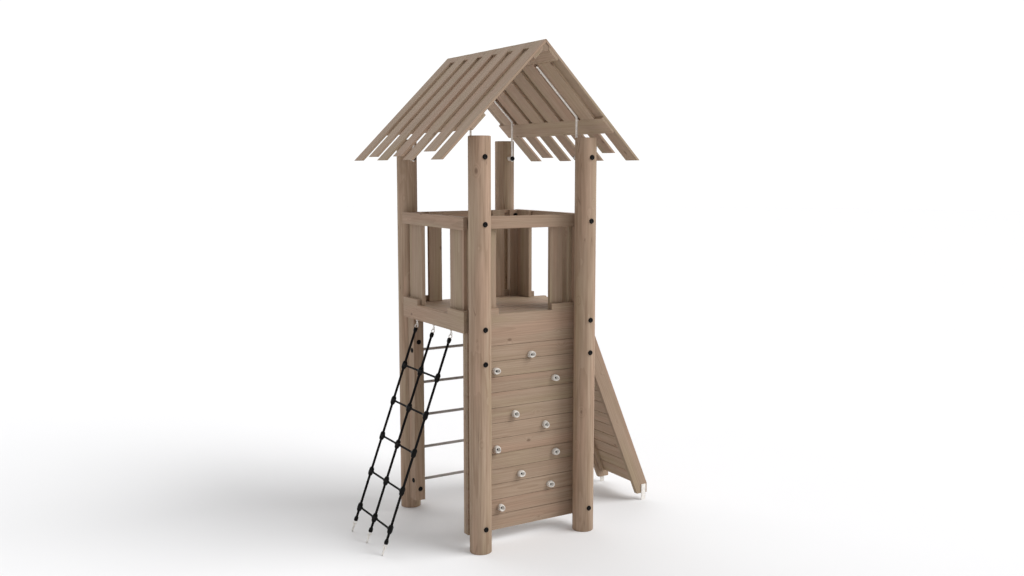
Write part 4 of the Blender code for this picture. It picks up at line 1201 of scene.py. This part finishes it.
class TOWER_OT_net(bpy.types.Operator):
    """Build the rope net with its connectors, ferrules, eyes and links"""

    bl_idname = "tower.net"
    bl_label = "Rope net"

    def execute(self, context):
        sizes = context.scene.tower_sizes
        top, down, lines, low_eye = net_frame()
        under = BOX["fascia_left"][0].z
        square = down.cross(ALONG_Y)
        # Distances down a long rope: its links, the outer ends of its ferrules, its first connector
        high_link = EYE_RADIUS + LINK_RADIUS - (EYE_WIRE + LINK_WIRE) / 4
        low_link = low_eye - (EYE_RADIUS + LINK_RADIUS - (EYE_WIRE + LINK_WIRE) / 2 - CLEARANCE)
        high_end = high_link + LINK_RADIUS
        low_end = low_link - LINK_RADIUS
        first_row = (top.z - under + NET_FIRST_ROW_UNDER_FASCIA) / -down.z

        tops = [top + ALONG_Y * y for y in lines]
        ropes = []
        radius = sizes.rope_diameter / 2 * STRAND_CREST
        for here in tops:
            start = here + down * (high_end + ROPE_IN_FERRULE)
            end = here + down * (low_end - ROPE_IN_FERRULE)
            path = straight(start, end, int((end - start).length / ROPE_STEP))
            ropes.append(plain(tube(path, radius, 24, 6, sizes.rope_lay), "rope"))
        radius = sizes.cross_diameter / 2 * STRAND_CREST
        for number in range(NET_ROWS):
            spot = top + down * (first_row + number * NET_ROW_PITCH)
            path = [spot + ALONG_Y * lines[0]]
            for y in lines[1:]:
                path += straight(path[-1], spot + ALONG_Y * y, CROSS_ROPE_STEPS)[1:]
            ropes.append(plain(tube(path, radius, 18, 6, sizes.rope_lay * 0.8), "rope"))
        finish_piece("rope_net_ropes", ropes, ["rope_net"])

        start = top + down * first_row
        moulded = []
        for i, y in enumerate(lines):
            shape = connector(start + ALONG_Y * y, down, i > 0, i < len(lines) - 1)
            moulded.append(row(shape, NET_ROWS, down * NET_ROW_PITCH, "connector"))
        ferrule = [(0, 0.0080), (0.001, 0.0105), (0.005, 0.0130), (0.012, 0.0140)]
        ferrule += [(0.022, 0.0132), (0.030, 0.0108), (0.032, 0.0092)]
        ends = []
        for here in tops:
            ends += [(here + down * high_end, down), (here + down * low_end, -down)]
        moulded.append(on_spots(ferrule, 20, ends, "connector"))
        piece = finish_piece("rope_net_connectors", moulded, ["rope_net"])
        piece.data.set_sharp_from_angle(angle=radians(50))

        steel = []
        for here in tops:
            steel.append(plain(torus(here, UP, ALONG_Y, EYE_RADIUS, EYE_WIRE), "bright"))
            shank = [(0, 0.004), (EYE_DROP - EYE_RADIUS, 0.004)]
            steel.append(plain(lathe(shank, here + UP * EYE_RADIUS, UP, 16), "bright"))
            collar = [(0, 0.008), (0.0005, 0.009), (0.003, 0.009), (0.0035, 0.008)]
            steel.append(plain(lathe(collar, (here.x, here.y, under - 0.004), UP, 16), "bright"))
            for station in (high_link, low_link):
                link = torus(here + down * station, down, square, LINK_RADIUS, LINK_WIRE)
                steel.append(plain(link, "bright"))
        finish_piece("rope_net_eyes", steel, ["rope_net"])
        return {"FINISHED"}


class TOWER_OT_anchors(bpy.types.Operator):
    """Build the net's ground anchors"""

    bl_idname = "tower.anchors"
    bl_label = "Ground anchors"

    def execute(self, context):
        top, down, lines, low_eye = net_frame()
        for number, y in enumerate(lines, 1):
            eye = top + down * low_eye + ALONG_Y * y
            start = eye + down * (EYE_RADIUS - EYE_WIRE / 3)
            foot = start + down * (start.z / -down.z - 0.002)
            reach = (foot - start).length
            profile = [(0, 0.0065), (reach * 0.3, 0.0066), (reach * 0.6, 0.0065), (reach, 0.0064)]
            parts = [
                plain(torus(eye, down, ALONG_Y, EYE_RADIUS, EYE_WIRE), "zinc"),
                plain(lathe(profile, start, down, 18), "zinc"),
            ]
            name = "ground_anchor_%d" % number
            finish_piece("steel_" + name, parts, [name])
        return {"FINISHED"}


class TOWER_OT_stage(bpy.types.Operator):
    """Lay the pale floor, set the soft studio light and place the camera"""

    bl_idname = "tower.stage"
    bl_label = "Studio"

    def execute(self, context):
        scene = context.scene
        scene.view_settings.view_transform = "Standard"
        scene.view_settings.look = "None"
        colours = scene.tower_colours

        # A matt painted floor, large enough to fill the picture from every side
        made, add, place = new_material("floor_paint_matt")
        clouds = add("TexNoise", {"Vector": place, "Scale": 0.8})
        tone = add("MapRange", {0: clouds, 3: 0.99, 4: 1.01})
        tinted = add("VectorMath SCALE", {0: colours.floor, "Scale": tone})
        finished(made, tinted, {"Roughness": 0.9, "Specular IOR Level": 0.1})
        floor = as_object("floor", block((-60, 60), (-60, 60), (-0.2, 0)))
        floor.data.shade_flat()
        floor.data.materials.append(made)

        # A white surround that only the camera sees
        glow = bpy.data.materials.new("surround_white")
        add = partial(put, emptied(glow))
        white = add("Emission", {"Color": (1, 1, 1, 1), "Strength": 1.05})
        add("OutputMaterial", {"Surface": white})
        drum = as_object("surround", lathe([(-1, 58), (60, 58)], (0, 0, 0), UP, 64))
        drum.data.materials.append(glow)
        for ray in ("diffuse", "glossy", "transmission", "volume_scatter", "shadow"):
            setattr(drum, "visible_" + ray, False)

        world = bpy.data.worlds.new("studio")
        scene.world = world
        add = partial(put, emptied(world))
        sky = add("Background", {"Color": (1, 1, 1, 1), "Strength": 0.50})
        add("OutputWorld", {"Surface": sky})

        # A soft light from the front right and a broader one from behind
        for name, power, width, way in (
            ("softbox_right", 2.35, 42, (0.55, -0.48, 0.66)),
            ("softbox_back", 1.1, 70, (0.05, 0.80, 0.62)),
        ):
            lamp = bpy.data.lights.new(name, "SUN")
            lamp.energy = power
            lamp.angle = radians(width)
            box = bpy.data.objects.new(name, lamp)
            box.rotation_euler = Vector(way).to_track_quat("Z", "Y").to_euler()
            scene.collection.objects.link(box)

        lens = bpy.data.cameras.new("camera")
        lens.lens = 35.25
        lens.sensor_width = 36
        camera = bpy.data.objects.new("camera", lens)
        camera.location = (-3.4762, -5.8784, 2.4226)
        camera.rotation_euler = (radians(83.159), 0, radians(-31.0))
        scene.collection.objects.link(camera)
        scene.camera = camera
        return {"FINISHED"}


OPERATORS = (
    TOWER_OT_posts,
    TOWER_OT_caps,
    TOWER_OT_railing,
    TOWER_OT_deck,
    TOWER_OT_wall,
    TOWER_OT_holds,
    TOWER_OT_ladder,
    TOWER_OT_ramp,
    TOWER_OT_roof,
    TOWER_OT_arms,
    TOWER_OT_net,
    TOWER_OT_anchors,
    TOWER_OT_stage,
)


class TOWER_PT_panel(bpy.types.Panel):
    """Buttons for the tower's pieces"""

    bl_idname = "TOWER_PT_panel"
    bl_label = "Climbing tower"
    bl_space_type = "VIEW_3D"
    bl_region_type = "UI"
    bl_category = "Tower"

    def draw(self, context):
        for kind in OPERATORS:
            self.layout.operator(kind.bl_idname)
        for group in (context.scene.tower_sizes, context.scene.tower_colours):
            box = self.layout.box()
            for name in group.bl_rna.properties.keys():
                if name not in ("rna_type", "name"):
                    box.prop(group, name)


CLASSES = (TowerSizes, TowerColours) + OPERATORS + (TOWER_PT_panel,)


def register():
    for kind in CLASSES:
        bpy.utils.register_class(kind)
    bpy.types.Scene.tower_sizes = PointerProperty(type=TowerSizes)
    bpy.types.Scene.tower_colours = PointerProperty(type=TowerColours)


def unregister():
    del bpy.types.Scene.tower_colours
    del bpy.types.Scene.tower_sizes
    for kind in reversed(CLASSES):
        bpy.utils.unregister_class(kind)


def main():
    register()
    for kind in OPERATORS:
        family, name = kind.bl_idname.split(".")
        getattr(getattr(bpy.ops, family), name)()


if __name__ == "__main__":
    main()
